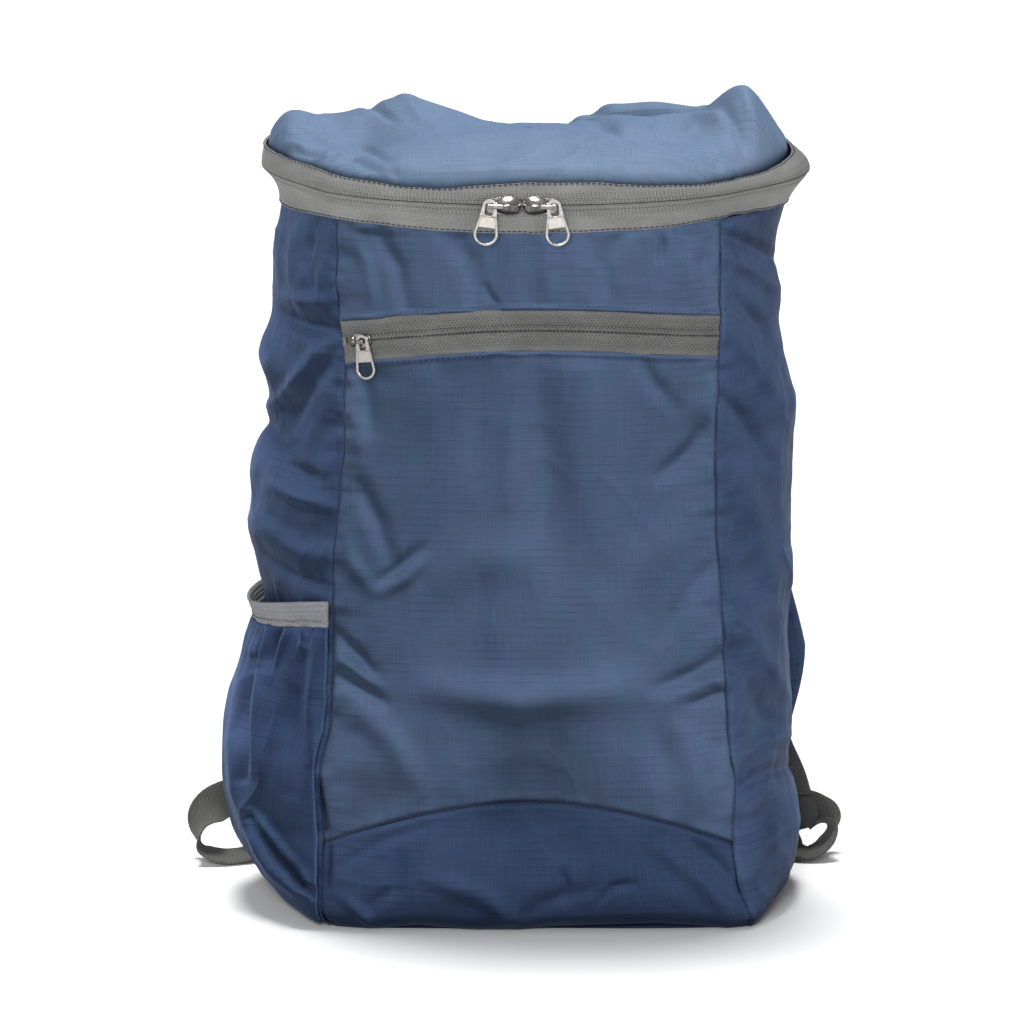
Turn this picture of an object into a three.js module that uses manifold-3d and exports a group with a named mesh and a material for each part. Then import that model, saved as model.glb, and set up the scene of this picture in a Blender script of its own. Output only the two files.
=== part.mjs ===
// A light travel backpack that stands by itself, with its two zips closed. Millimetres, +Z up, the front
// towards -Y. The origin is the middle of the face that it rests on.
import * as THREE from "three";
import { mergeVertices } from "three/addons/utils/BufferGeometryUtils.js";
import Module from "manifold-3d";

const wasm = await Module();
wasm.setup();

// Body
const RIM_HEIGHT = 380; // the zip line at the front, above the ground
const BODY_WIDTH = 274;
const BODY_DEPTH = 156;
const FRONT_WIDTH = 200; // between the two front seams
const BACK_WIDTH = 232; // between the two back seams
const BASE_RADIUS = 10; // how the cloth rolls under at the ground
const CLOTH = 1.6;
const BASE_PLAY = 0.3; // more room round the base, where the panels roll under
const SEAM_GAP = 0.35; // between two panels that are sewn together
const FOLD_DEPTH = 6; // the deepest fold of a panel
const ARCH_FOOT = 45; // the arched seam on the front: its ends, and its rise between them
const ARCH_RISE = 24;

// Lid
const LID_RISE = 28;
const LID_TUCK = 2.2; // how far the lid's edge lies inside the rim line
const LID_LAP = 2.4; // how far the lid's edge reaches below the tape or the back panel
const BACK_RISE = 14; // the back panel's top edge above the zip line

// Main zip
const TAPE_WIDTH = 13.5;
const UPPER_TAPE_WIDTH = 11.5;
const TAPE = 1.2;
const TAPE_LAP = 2.5; // how far the lower tape covers the panels' top edge
const TAPE_STAND = 4; // how far the zip stands out at the front
const ZIP_SLOT = 1.6; // the opening between the two tapes, which the slider's neck runs in
const COIL_RADIUS = 1.3;
const COIL_GAP = 0.35;
const SLIDER_SPREAD = 32.5; // between the posts of the two sliders
const SLIDER_MIDDLE = -4.3; // from the bag's middle line to the middle between them

// Front pocket zip
const POCKET_ZIP_HEIGHT = 315.5;
const POCKET_ZIP_SAG = 5.5; // how much lower it is at the seams
const POCKET_ZIP_DROP = 3; // and how much more at the left seam
const POCKET_ZIP_WIDTH = 21.5;
const POCKET_COIL_RADIUS = 1.2;
const POCKET_SLIDER_PLACE = -0.426 * FRONT_WIDTH; // of its post, from the bag's middle line
const STOP_LENGTH = 1.6; // the metal stop at the zip's closed end
const STOP_WIDTH = 4;
const STOP_PLACE = -0.473 * FRONT_WIDTH;

// Sliders, in a frame with x along the zip towards the nose, y out of the bag and z across the tapes. The
// post that carries the pull stands at the origin.
const MAIN_SLIDER = {
  length: 17,
  width: 9.5,
  domeLength: 12.2,
  domeWidth: 10.6,
  domeRise: 4.6,
  postToDome: 10,
  coil: COIL_RADIUS,
};
const POCKET_SLIDER = {
  length: 11.5,
  width: 7.6,
  domeLength: 4.4,
  domeWidth: 6.8,
  domeRise: 3.2,
  postToDome: 5.8,
  coil: POCKET_COIL_RADIUS,
};
const SLIDER_PLATE = 1.3;
const SLIDER_CLEARANCE = 0.35;
const SLIDER_NECK = 1;
const NECK_LENGTH = 2;
const POST_RADIUS = 1.15;
const BRIDGE = 1.2;

// Pulls, hanging from the post
const MAIN_PULL = { length: 25.5, width: 12.4, ring: 3.6 };
const POCKET_PULL = { length: 24.5, width: 10.7, ring: 3.3 };
const PULL_THICKNESS = 1.5;
const PULL_RIM = 1.25; // the width of the metal round the two holes
const PULL_SLOT = 3.4; // how much longer than wide the upper hole is
const PULL_PLATE = 5.6; // between the two holes
const PULL_PLAY = 0.5; // above and below the pull
const PULL_TILT = 7; // degrees, as the two pulls of the main zip hang

// Side pocket
const POCKET_HEIGHT = 148; // where its elastic begins
const POCKET_BULGE = 19;
const MOUTH_RISE = 11; // how much higher its mouth is at the front
const ELASTIC_WIDTH = 13;
const ELASTIC = 1.8;
const ELASTIC_STAND = 8; // how far the elastic stands off the side
const ELASTIC_LEAN = 2; // and how much further its top edge does
const GATHER_DEPTH = 2.6;
const GATHERS = 7;
const CREASE_DEPTH = 5.5; // the slanting crease at the pocket's foot

// Straps
const STRAP_WIDTH = 58;
const STRAP_END_WIDTH = 34;
const STRAP_THICKNESS = 7;
const TAB_WIDTH = 26;
const TAB_THICKNESS = 1.8;
const WEB_WIDTH = 20;
const WEB_THICKNESS = 1.5;
const LOCK_WIDTH = 27;
const LOCK_HEIGHT = 17;
const LOCK_THICKNESS = 4;
const HAUL_WIDTH = 20;
const HAUL_SPAN = 96;
const HAUL_REACH = 17;
const HAUL_HEIGHT = RIM_HEIGHT; // of its ends, above the ground
const HAUL_DROP = 5;

// A table as rows of named columns.
const table = (columns, rows) =>
  rows.map((row) => Object.fromEntries(columns.map((name, k) => [name, row[k]])));

// Sections of the body. height is a share of RIM_HEIGHT, the seams of half FRONT_WIDTH, the reaches of half
// BODY_WIDTH, front and crown of half BODY_DEPTH, and back of half BACK_WIDTH. square under 1 makes the
// sides boxier, and sharp above 2 keeps the front flat up to its seams.
const SECTIONS = table(
  ["height", "leftSeam", "rightSeam", "leftReach", "rightReach", "front", "crown", "back", "square", "sharp"],
  [
    [0.0, 1.08, 1.18, 0.9, 0.97, 1.05, 0.1, 1.02, 0.68, 3],
    [0.05, 1.08, 1.09, 0.955, 1.045, 1.1, 0.14, 1.03, 0.7, 3],
    [0.12, 1.07, 1.05, 1.015, 1.015, 1.09, 0.16, 1.03, 0.72, 3],
    [0.2, 1.075, 1.06, 1.03, 0.985, 1.08, 0.18, 1.02, 0.78, 3],
    [0.27, 1.05, 1.025, 1.015, 0.985, 1.05, 0.18, 1.02, 0.8, 3],
    [0.4, 1.02, 0.995, 0.985, 0.985, 1.04, 0.17, 1.01, 0.82, 3],
    [0.5, 1.015, 0.97, 1.06, 0.985, 1.03, 0.17, 1.01, 0.84, 3],
    [0.6, 0.98, 0.953, 1.055, 0.985, 1.03, 0.17, 1.0, 0.86, 3],
    [0.69, 0.952, 0.952, 0.97, 0.995, 1.03, 0.17, 1.0, 0.86, 3],
    [0.755, 0.95, 0.96, 1.025, 0.965, 1.03, 0.18, 0.99, 0.88, 3.4],
    [0.83, 0.975, 0.97, 0.978, 0.948, 1.03, 0.2, 0.98, 0.92, 3.8],
    [0.91, 1.0, 0.973, 0.958, 0.928, 1.01, 0.23, 0.97, 0.96, 4.2],
    [1.0, 0.985, 0.965, 0.915, 0.985, 0.98, 0.25, 0.96, 1.0, 4.5],
  ],
);

// Folds of a panel. across is a share of half its width from its middle line, height of RIM_HEIGHT, width
// of FRONT_WIDTH and depth of FOLD_DEPTH. A fold runs from its first point to its second, and a depth
// under 0 is a hollow.
const FOLD_COLUMNS = ["across1", "height1", "across2", "height2", "width", "depth"];
const FRONT_FOLDS = table(FOLD_COLUMNS, [
  [0.92, 0.68, 0.55, 0.6, 0.06, -0.5],
  [-0.95, 0.52, -0.6, 0.4, 0.11, -0.7],
  [-0.6, 0.42, -0.85, 0.36, 0.05, -0.4],
  [-0.35, 0.78, -0.3, 0.5, 0.07, -0.3],
  [0.15, 0.7, 0.1, 0.45, 0.16, 0.45],
  [-0.25, 0.25, 0.3, 0.24, 0.2, -0.9],
  [0.9, 0.35, 0.45, 0.27, 0.06, -0.5],
  [-0.9, 0.36, -0.55, 0.26, 0.06, -0.45],
  [0.45, 0.88, 0.45, 0.99, 0.03, -0.3],
  [-0.3, 0.1, 0.4, 0.11, 0.16, 0.5],
]);
const LEFT_FOLDS = table(FOLD_COLUMNS, [
  [-0.6, 0.79, 0.75, 0.8, 0.06, -0.8],
  [0.5, 0.78, -0.4, 0.62, 0.06, 0.35],
  [-0.5, 0.55, 0.7, 0.47, 0.07, -0.6],
  [-0.6, 0.46, 0.3, 0.43, 0.05, 0.35],
  [0.2, 0.94, -0.3, 0.86, 0.05, 0.3],
]);
const RIGHT_FOLDS = table(FOLD_COLUMNS, [
  [-0.6, 0.91, 0.4, 0.87, 0.05, -0.5],
  [-0.5, 0.8, 0.3, 0.7, 0.07, -0.7],
  [-0.8, 0.68, 0.1, 0.56, 0.07, -0.6],
  [-0.7, 0.36, 0.3, 0.3, 0.09, -0.4],
  [-0.6, 0.2, 0.3, 0.09, 0.07, 0.5],
]);

// Swellings and dents of the lid. x and its reach are shares of half BODY_WIDTH, y and its reach of half
// BODY_DEPTH, and rise of LID_RISE.
const LID_FORMS = table(["x", "y", "xReach", "yReach", "rise"], [
  [-0.95, 0.2, 0.14, 0.5, 0.9],
  [-0.5, 0.4, 0.2, 0.45, 0.58],
  [0.0, 0.8, 0.3, 0.45, -0.36],
  [0.06, -0.2, 0.4, 0.5, -0.02],
  [0.48, 0.86, 0.28, 0.2, 0.4],
  [0.42, 0.5, 0.3, 0.13, -0.4],
  [0.83, 0.25, 0.15, 0.5, 1.45],
  [-0.62, -0.35, 0.09, 0.4, -0.2],
  [0.35, -0.35, 0.12, 0.3, 0.12],
]);

// Back edge of the lid and top edge of the back panel: x is a share of half BACK_WIDTH and rise of BACK_RISE.
const BACK_EDGE = table(["x", "rise"], [
  [-1, 0.55],
  [-0.6, 1.1],
  [-0.2, 0.85],
  [0.1, 0.75],
  [0.4, 1.5],
  [0.75, 1.6],
  [1, 0.7],
]);

// Routes of the straps. x is a share of half BODY_WIDTH, y of half BODY_DEPTH behind the back panel's face
// and z of RIM_HEIGHT.
const ROUTE_COLUMNS = ["x", "y", "z"];
const STRAP_ROUTE = table(ROUTE_COLUMNS, [
  [0.4, 0.045, 0.955],
  [0.405, 0.075, 0.91],
  [0.45, 0.23, 0.81],
  [0.55, 0.39, 0.66],
  [0.68, 0.45, 0.5],
  [0.81, 0.38, 0.36],
  [0.88, 0.27, 0.26],
  [0.905, 0.17, 0.19],
]);
const TAB_ROUTE = table(ROUTE_COLUMNS, [
  [0.906, 0.168, 0.1888],
  [0.91, 0.15, 0.178],
  [0.935, 0.09, 0.15],
  [0.985, 0.04, 0.11],
  [1.01, 0.02, 0.08],
]);
// The webbing's face is square to the way that its width points: widthX, widthY and widthZ.
const WEB_COLUMNS = ["x", "y", "z", "widthX", "widthY", "widthZ"];
const RIGHT_WEB_ROUTE = table(WEB_COLUMNS, [
  [1.03, 0.06, 0.07, 0, 0.12, 1],
  [1.12, 0.075, 0.06, -0.3, 0.05, 1],
  [1.165, 0.04, 0.046, -0.1, 0.8, 0.7],
  [1.155, -0.05, 0.024, -0.1, 1, 0.2],
  [1.1, -0.1, 0.0105, -0.1, 1, 0.1],
  [1.03, -0.06, 0.0125, -0.2, 0.95, 0.2],
  [0.93, 0.09, 0.029, 0.05, 0.3, 1],
  [0.77, -0.04, 0.04, 0, 0, 1],
]);
const LEFT_WEB_ROUTE = table(WEB_COLUMNS, [
  [-1.03, 0.06, 0.078, 0, 0.12, 1],
  [-1.16, 0.07, 0.081, -0.1, 0.1, 1],
  [-1.245, -0.03, 0.07, -0.35, 0.5, 0.8],
  [-1.285, -0.13, 0.044, -0.2, 1, 0.35],
  [-1.275, -0.18, 0.021, 0, 1, 0.1],
  [-1.2, -0.19, 0.0095, 0, 1, 0.13],
  [-1.07, -0.08, 0.0095, 0.2, 0.95, 0.12],
  [-1.0, 0.06, 0.016, 0.1, 0.9, 0.3],
  [-0.92, 0.09, 0.031, 0, 0.3, 1],
  [-0.77, -0.04, 0.04, 0, 0, 1],
]);

// Colours
const cloth = (colour) => new THREE.MeshStandardMaterial({ color: colour, roughness: 0.55, metalness: 0 });
const BLUE = cloth(0x2f4d80);
const DARK_BLUE = cloth(0x27406c);
const GREY = cloth(0x77756f);
const DARK_GREY = cloth(0x4b4b4c);
const METAL = new THREE.MeshStandardMaterial({ color: 0xb9b6ad, roughness: 0.25, metalness: 1 });

const group = new THREE.Group();
const add = (name, geometry, material) => {
  const mesh = new THREE.Mesh(geometry, material);
  mesh.name = name;
  group.add(mesh);
  return mesh;
};

const mix = THREE.MathUtils.lerp;
const clamp = THREE.MathUtils.clamp;
const vector = (x, y, z) => new THREE.Vector3(x, y, z);
const bell = (distance, reach) => Math.exp(-((distance / reach) ** 2));

// A column of a table at a place between its rows, as a smooth curve.
function smooth(rows, key, column, at) {
  let k = rows.findIndex((row) => row[key] > at) - 1;
  if (k < 0) k = at < rows[0][key] ? 0 : rows.length - 2;
  const row = (i) => rows[clamp(i, 0, rows.length - 1)];
  const slope = (i) =>
    (row(i + 1)[column] - row(i - 1)[column]) / (row(i + 1)[key] - row(i - 1)[key]);
  const span = rows[k + 1][key] - rows[k][key];
  const t = clamp((at - rows[k][key]) / span, 0, 1);
  const [a, b, from, to] = [rows[k][column], rows[k + 1][column], slope(k) * span, slope(k + 1) * span];
  const [t2, t3] = [t * t, t * t * t];
  return a * (2 * t3 - 3 * t2 + 1) + from * (t3 - 2 * t2 + t) + b * (3 * t2 - 2 * t3) + to * (t3 - t2);
}

// Solids as closed meshes
function closed(points, triangles) {
  let volume = 0;
  for (let k = 0; k < triangles.length; k += 3) {
    const [a, b, c] = [points[triangles[k]], points[triangles[k + 1]], points[triangles[k + 2]]];
    volume += a.dot(b.clone().cross(c));
  }
  if (volume < 0) triangles.reverse();
  const geometry = new THREE.BufferGeometry().setFromPoints(points);
  geometry.setIndex(triangles);
  geometry.computeVertexNormals();
  return geometry;
}

// A wall between two faces, each a function of u and v from 0 to 1.
function wall(columns, rows, outer, inner) {
  const points = [];
  const at = (i, j, face) => (face * (rows + 1) + j) * (columns + 1) + i;
  for (const face of [outer, inner])
    for (let j = 0; j <= rows; j++)
      for (let i = 0; i <= columns; i++) points.push(face(i / columns, j / rows));
  const triangles = [];
  const quad = (a, b, c, d) => triangles.push(a, b, c, a, c, d);
  for (let j = 0; j < rows; j++)
    for (let i = 0; i < columns; i++) {
      quad(at(i, j, 0), at(i + 1, j, 0), at(i + 1, j + 1, 0), at(i, j + 1, 0));
      quad(at(i, j, 1), at(i, j + 1, 1), at(i + 1, j + 1, 1), at(i + 1, j, 1));
    }
  for (let i = 0; i < columns; i++) {
    quad(at(i, 0, 1), at(i + 1, 0, 1), at(i + 1, 0, 0), at(i, 0, 0));
    quad(at(i, rows, 0), at(i + 1, rows, 0), at(i + 1, rows, 1), at(i, rows, 1));
  }
  for (let j = 0; j < rows; j++) {
    quad(at(0, j, 0), at(0, j + 1, 0), at(0, j + 1, 1), at(0, j, 1));
    quad(at(columns, j, 1), at(columns, j + 1, 1), at(columns, j + 1, 0), at(columns, j, 0));
  }
  return closed(points, triangles);
}

// A dished wall between two faces, each a function of a turn and of a share of the way out from its middle.
function dish(around, rings, outer, inner) {
  const points = [];
  const triangles = [];
  const starts = [outer, inner].map((face) => {
    const start = points.length;
    points.push(face(0, 0));
    for (let j = 1; j <= rings; j++)
      for (let i = 0; i < around; i++) points.push(face(i / around, j / rings));
    return start;
  });
  const at = (i, j, face) => starts[face] + (j ? 1 + (j - 1) * around + (i % around) : 0);
  const quad = (a, b, c, d) => triangles.push(a, b, c, a, c, d);
  for (let i = 0; i < around; i++) {
    triangles.push(at(0, 0, 0), at(i, 1, 0), at(i + 1, 1, 0));
    triangles.push(at(0, 0, 1), at(i + 1, 1, 1), at(i, 1, 1));
    for (let j = 1; j < rings; j++) {
      quad(at(i, j, 0), at(i, j + 1, 0), at(i + 1, j + 1, 0), at(i + 1, j, 0));
      quad(at(i, j, 1), at(i + 1, j, 1), at(i + 1, j + 1, 1), at(i, j + 1, 1));
    }
    quad(at(i, rings, 0), at(i, rings, 1), at(i + 1, rings, 1), at(i + 1, rings, 0));
  }
  return closed(points, triangles);
}

// A bar through a row of rings, each a list of points with as many points as the others.
function bar(rings) {
  const sides = rings[0].length;
  const points = rings.flat();
  const triangles = [];
  const at = (i, k) => i * sides + (k % sides);
  for (let i = 0; i + 1 < rings.length; i++)
    for (let k = 0; k < sides; k++) {
      triangles.push(at(i, k), at(i + 1, k), at(i + 1, k + 1));
      triangles.push(at(i, k), at(i + 1, k + 1), at(i, k + 1));
    }
  for (let k = 1; k + 1 < sides; k++) {
    triangles.push(at(0, 0), at(0, k), at(0, k + 1));
    triangles.push(at(rings.length - 1, 0), at(rings.length - 1, k + 1), at(rings.length - 1, k));
  }
  return closed(points, triangles);
}

const fromSolid = (solid) => {
  const mesh = solid.getMesh();
  const geometry = new THREE.BufferGeometry();
  geometry.setAttribute("position", new THREE.BufferAttribute(mesh.vertProperties, 3));
  geometry.setIndex(new THREE.BufferAttribute(mesh.triVerts, 1));
  geometry.computeVertexNormals();
  return geometry;
};

function bareGeometry(geometry) {
  const bare = geometry.clone();
  bare.deleteAttribute("normal");
  bare.deleteAttribute("uv");
  return bare;
}
function toSolid(geometry) {
  const merged = mergeVertices(bareGeometry(geometry), 1e-4);
  const mesh = new wasm.Mesh({
    numProp: 3,
    vertProperties: new Float32Array(merged.attributes.position.array),
    triVerts: new Uint32Array(merged.index.array),
  });
  return new wasm.Manifold(mesh);
}

const join = (...pieces) => fromSolid(pieces.map(toSolid).reduce((sum, piece) => sum.add(piece)));

// The body's surface. side runs from 0 at the back left seam to 1 at the front left one, 2 at the front
// right one, 3 at the back right one and 4 at the first again. reach is the way up the cloth from the end
// of the roll at the ground, so that the roll itself lies below 0.
const BASE_REACH = (-BASE_RADIUS * Math.PI) / 2;
const toReach = (z) => z - BASE_RADIUS;

function section(side, z) {
  const share = clamp(z / RIM_HEIGHT, 0, 1);
  const read = (column) => smooth(SECTIONS, "height", column, share);
  const frontY = (-read("front") * BODY_DEPTH) / 2;
  const seamY = frontY + (read("crown") * BODY_DEPTH) / 2;
  const backX = (read("back") * BACK_WIDTH) / 2;
  const backSeamY = BODY_DEPTH / 2 - BODY_DEPTH * 0.035;
  const turn = ((side % 4) + 4) % 4;
  const seam = (name) => (read(name) * FRONT_WIDTH) / 2;
  if (turn > 1 && turn < 2) {
    const across = 2 * (turn - 1) - 1;
    const x = across * (across < 0 ? seam("leftSeam") : seam("rightSeam"));
    return vector(x, mix(frontY, seamY, Math.abs(across) ** read("sharp")), z);
  }
  if (turn > 3) {
    const across = 1 - 2 * (turn - 3);
    return vector(across * backX, mix(BODY_DEPTH / 2, backSeamY, across * across), z);
  }
  const left = turn <= 1;
  const fromFront = left ? 1 - turn : turn - 2;
  const seamX = seam(left ? "leftSeam" : "rightSeam");
  const reachX = (read(left ? "leftReach" : "rightReach") * BODY_WIDTH) / 2;
  const swell = reachX - mix(seamX, backX, 0.5);
  const x = mix(seamX, backX, fromFront) + swell * Math.sin(Math.PI * fromFront) ** read("square");
  return vector(left ? -x : x, mix(seamY, backSeamY, fromFront), z);
}

function skin(side, reach) {
  if (reach >= 0) return section(side, BASE_RADIUS + reach);
  const angle = Math.PI / 2 + Math.max(reach, BASE_REACH) / BASE_RADIUS;
  const point = section(side, BASE_RADIUS * (1 - Math.cos(angle)));
  const inset = BASE_RADIUS * (1 - Math.sin(angle));
  const flat = Math.hypot(point.x, point.y);
  return vector(point.x * (1 - inset / flat), point.y * (1 - inset / flat), point.z);
}

// The way out of the cloth. Next to a seam it is the mean of both panels', so that their edges meet mitred.
const STEP_SIDE = 0.008;
const STEP_REACH = 1.5;
function outward(side, reach) {
  const along = skin(side + STEP_SIDE, reach).sub(skin(side - STEP_SIDE, reach));
  const low = Math.max(reach - STEP_REACH, BASE_REACH);
  const up = skin(side, low + 2 * STEP_REACH).sub(skin(side, low));
  return along.cross(up).normalize();
}
const off = (side, reach, distance) =>
  skin(side, reach).addScaledVector(outward(side, reach), distance);

// How far a panel's folds move a point of it.
function folded(folds, across, z) {
  let sum = 0;
  const half = FRONT_WIDTH / 2;
  for (const fold of folds) {
    const [x1, z1] = [fold.across1 * half, fold.height1 * RIM_HEIGHT];
    const [x2, z2] = [fold.across2 * half, fold.height2 * RIM_HEIGHT];
    const [dx, dz, px, pz] = [x2 - x1, z2 - z1, across * half - x1, z - z1];
    const t = clamp((px * dx + pz * dz) / (dx * dx + dz * dz), 0, 1);
    sum += fold.depth * bell(Math.hypot(px - t * dx, pz - t * dz), fold.width * FRONT_WIDTH);
  }
  return FOLD_DEPTH * sum;
}

// A panel between two lines across it, each a function of its place across, from -1 to 1.
const SIDE_GAP = SEAM_GAP / 2 / (FRONT_WIDTH * 0.95);
function panel({ first, columns, rows, bottom, top, folds, lift = 0, thickness = CLOTH }) {
  const place = (u, v) => {
    const across = 2 * u - 1;
    const side = mix(first + SIDE_GAP, first + 1 - SIDE_GAP, u);
    const [low, high] = [bottom(across), top(across)];
    const roll = low < 0 ? 0.14 : 0;
    const reach = v < roll ? mix(low, 0, v / roll) : mix(Math.max(low, 0), high, (v - roll) / (1 - roll));
    const calm = (1 - across ** 6) * Math.min(1, 9 * v * (1 - v));
    return [side, reach, lift + calm * folded(folds, across, reach + BASE_RADIUS)];
  };
  const outer = (u, v) => off(...place(u, v));
  const inner = (u, v) => {
    const [side, reach, distance] = place(u, v);
    return off(side, reach, distance - thickness);
  };
  return wall(columns, rows, outer, inner);
}

// Heights of the lines across the body, as ways up the cloth
const level = (z) => () => toReach(z);
const PANEL_TOP = RIM_HEIGHT - TAPE_WIDTH + TAPE_LAP;
const archLine = (gap) => (across) =>
  toReach(ARCH_FOOT + ARCH_RISE * (1 - Math.abs(across) ** 1.9)) + gap;
const pocketZipFall = (across) => POCKET_ZIP_SAG * across ** 2 + POCKET_ZIP_DROP * clamp(-across, 0, 1) ** 1.5;
const pocketZipLine = (distance) => (across) => toReach(POCKET_ZIP_HEIGHT - pocketZipFall(across) + distance);
const HALF_GAP = SEAM_GAP / 2;
const HALF_POCKET_ZIP = POCKET_ZIP_WIDTH / 2;
const underEdge = () => BASE_REACH;

const FRONT_COLUMNS = 12;
const SIDE_COLUMNS = 8;
const BACK_COLUMNS = 10;
const front = { first: 1, columns: FRONT_COLUMNS, folds: FRONT_FOLDS };
add(
  "front_yoke",
  panel({ ...front, rows: 4, bottom: pocketZipLine(HALF_POCKET_ZIP + HALF_GAP), top: level(PANEL_TOP) }),
  BLUE,
);
add(
  "front_panel",
  panel({ ...front, rows: 14, bottom: archLine(HALF_GAP), top: pocketZipLine(-HALF_POCKET_ZIP - HALF_GAP) }),
  BLUE,
);
add("front_base", panel({ ...front, rows: 6, bottom: underEdge, top: archLine(-HALF_GAP) }), DARK_BLUE);
const sidePanel = { columns: SIDE_COLUMNS, rows: 20, bottom: underEdge, top: level(PANEL_TOP) };
add("side_left", panel({ ...sidePanel, first: 0, folds: LEFT_FOLDS }), DARK_BLUE);
add("side_right", panel({ ...sidePanel, first: 2, folds: RIGHT_FOLDS }), DARK_BLUE);

// Back panel, whose top edge stands above the rim
const backEdge = (across) =>
  RIM_HEIGHT + BACK_RISE * smooth(BACK_EDGE, "x", "rise", clamp(across, -1, 1));
const backPanel = {
  first: 3,
  columns: BACK_COLUMNS,
  rows: 14,
  folds: [],
  bottom: underEdge,
  top: (across) => toReach(backEdge(-across)),
};
add("back_panel", panel(backPanel), BLUE);

// Base, flat on the ground, with a corner wherever a panel has one
const BASE_SPLITS = [SIDE_COLUMNS, FRONT_COLUMNS, SIDE_COLUMNS, BACK_COLUMNS];
const baseOutline = new THREE.Shape(
  BASE_SPLITS.flatMap((columns, first) =>
    Array.from({ length: columns }, (_, k) => {
      const point = skin(first + k / columns, BASE_REACH);
      const share = 1 - (SEAM_GAP + BASE_PLAY) / Math.hypot(point.x, point.y);
      return new THREE.Vector2(point.x * share, point.y * share);
    }),
  ),
);
add("base_panel", new THREE.ExtrudeGeometry(baseOutline, { depth: CLOTH, bevelEnabled: false }), DARK_BLUE);

// The rim: how far the zip and the upper tape's top edge stand out of the body, and how high the zip runs,
// along the rim. place is the side, stand and top are shares of TAPE_STAND and rise of TAPE_WIDTH.
const RIM = table(["place", "stand", "top", "rise"], [
  [0, 0.2, 0, 0.75],
  [0.3, 2.4, 2.0, 0.6],
  [0.6, 3.0, 3.2, 0.45],
  [1, 1.4, 0.8, 0.25],
  [1.5, 1, 0, 0],
  [2, 1.5, 0, 0.2],
  [2.4, 2.0, 0.2, 0.25],
  [2.7, 1.8, 0.1, 0.4],
  [3, 0.2, 0, 0.6],
]);
const stand = (side) => TAPE_STAND * smooth(RIM, "place", "stand", side);
const topStand = (side) => TAPE_STAND * smooth(RIM, "place", "top", side) - LID_TUCK;
const rimHeight = (side) => RIM_HEIGHT + TAPE_WIDTH * smooth(RIM, "place", "rise", side);

function levelOut(side) {
  const along = section(side + STEP_SIDE, RIM_HEIGHT).sub(section(side - STEP_SIDE, RIM_HEIGHT));
  return vector(along.y, -along.x, 0).normalize();
}
function rimPoint(side, distance, z) {
  const point = section(side, Math.min(z, RIM_HEIGHT)).addScaledVector(levelOut(side), distance);
  point.z = z;
  return point;
}

// Each tape is arched a little between its two edges.
const RIM_COLUMNS = 48;
const rimSide = (u) => mix(SIDE_GAP * 2, 3 - SIDE_GAP * 2, u);
function tape(across, rows) {
  const outer = (u, v) => across(rimSide(u), v, TAPE);
  const inner = (u, v) => across(rimSide(u), v, 0);
  return wall(RIM_COLUMNS, rows, outer, inner);
}
const HALF_SLOT = ZIP_SLOT / 2;
const lowerTape = (side, v, thickness) => {
  const low = SEAM_GAP + 0.2;
  const distance = mix(low, stand(side), v ** 1.7);
  const bottom = PANEL_TOP - TAPE_LAP;
  return rimPoint(side, distance + thickness, mix(bottom, rimHeight(side) - HALF_SLOT, v));
};
const upperTape = (side, v, thickness) => {
  const distance = mix(topStand(side) + SEAM_GAP, stand(side), Math.cos((v * Math.PI) / 2));
  const z = rimHeight(side) + mix(HALF_SLOT, UPPER_TAPE_WIDTH, v);
  return rimPoint(side, distance + thickness, z);
};
add("main_zip_lower", tape(lowerTape, 2), GREY);
add("main_zip_upper", tape(upperTape, 2), GREY);

// Lid
const lidSide = (turn) => 4 * turn;
const lidEdge = (turn) => {
  const side = lidSide(turn);
  if (side > 3) return rimPoint(side, -LID_TUCK, backEdge(1 - 2 * (side - 3)) - LID_LAP);
  return rimPoint(side, topStand(side), rimHeight(side) + UPPER_TAPE_WIDTH - LID_LAP);
};
const LID_MIDDLE = vector(0, 0, RIM_HEIGHT + LID_RISE);
function lidHeight(x, y) {
  let rise = 0;
  for (const form of LID_FORMS) {
    const dx = (2 * x) / BODY_WIDTH - form.x;
    const dy = (2 * y) / BODY_DEPTH - form.y;
    rise += form.rise * bell(dx, form.xReach) * bell(dy, form.yReach);
  }
  return RIM_HEIGHT + LID_RISE * (1 + rise);
}
function lid(turn, share) {
  const edge = lidEdge(turn);
  const [x, y] = [mix(LID_MIDDLE.x, edge.x, share), mix(LID_MIDDLE.y, edge.y, share)];
  const up = (1 - share ** 3) ** 0.45;
  return vector(x, y, mix(edge.z, lidHeight(x, y), up));
}
const LID_AROUND = 40;
const LID_RINGS = [0, 0.28, 0.52, 0.73, 0.88, 0.96, 1];
function lidFace(depth) {
  return (turn, ring) => {
    const share = LID_RINGS[Math.round(ring * (LID_RINGS.length - 1))];
    const place = turn + 0.5 / LID_AROUND;
    if (share === 0) return lid(0, 0).add(vector(0, 0, -depth));
    const along = lid(place + 0.01, share).sub(lid(place - 0.01, share));
    const low = clamp(share - 0.03, 0.01, 0.94);
    const outwards = lid(place, low + 0.06).sub(lid(place, low));
    const normal = outwards.cross(along).normalize();
    if (normal.z < 0) normal.negate();
    return lid(place, share).addScaledVector(normal, -depth);
  };
}
add("lid", dish(LID_AROUND, LID_RINGS.length - 1, lidFace(0), lidFace(CLOTH)), BLUE);

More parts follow.
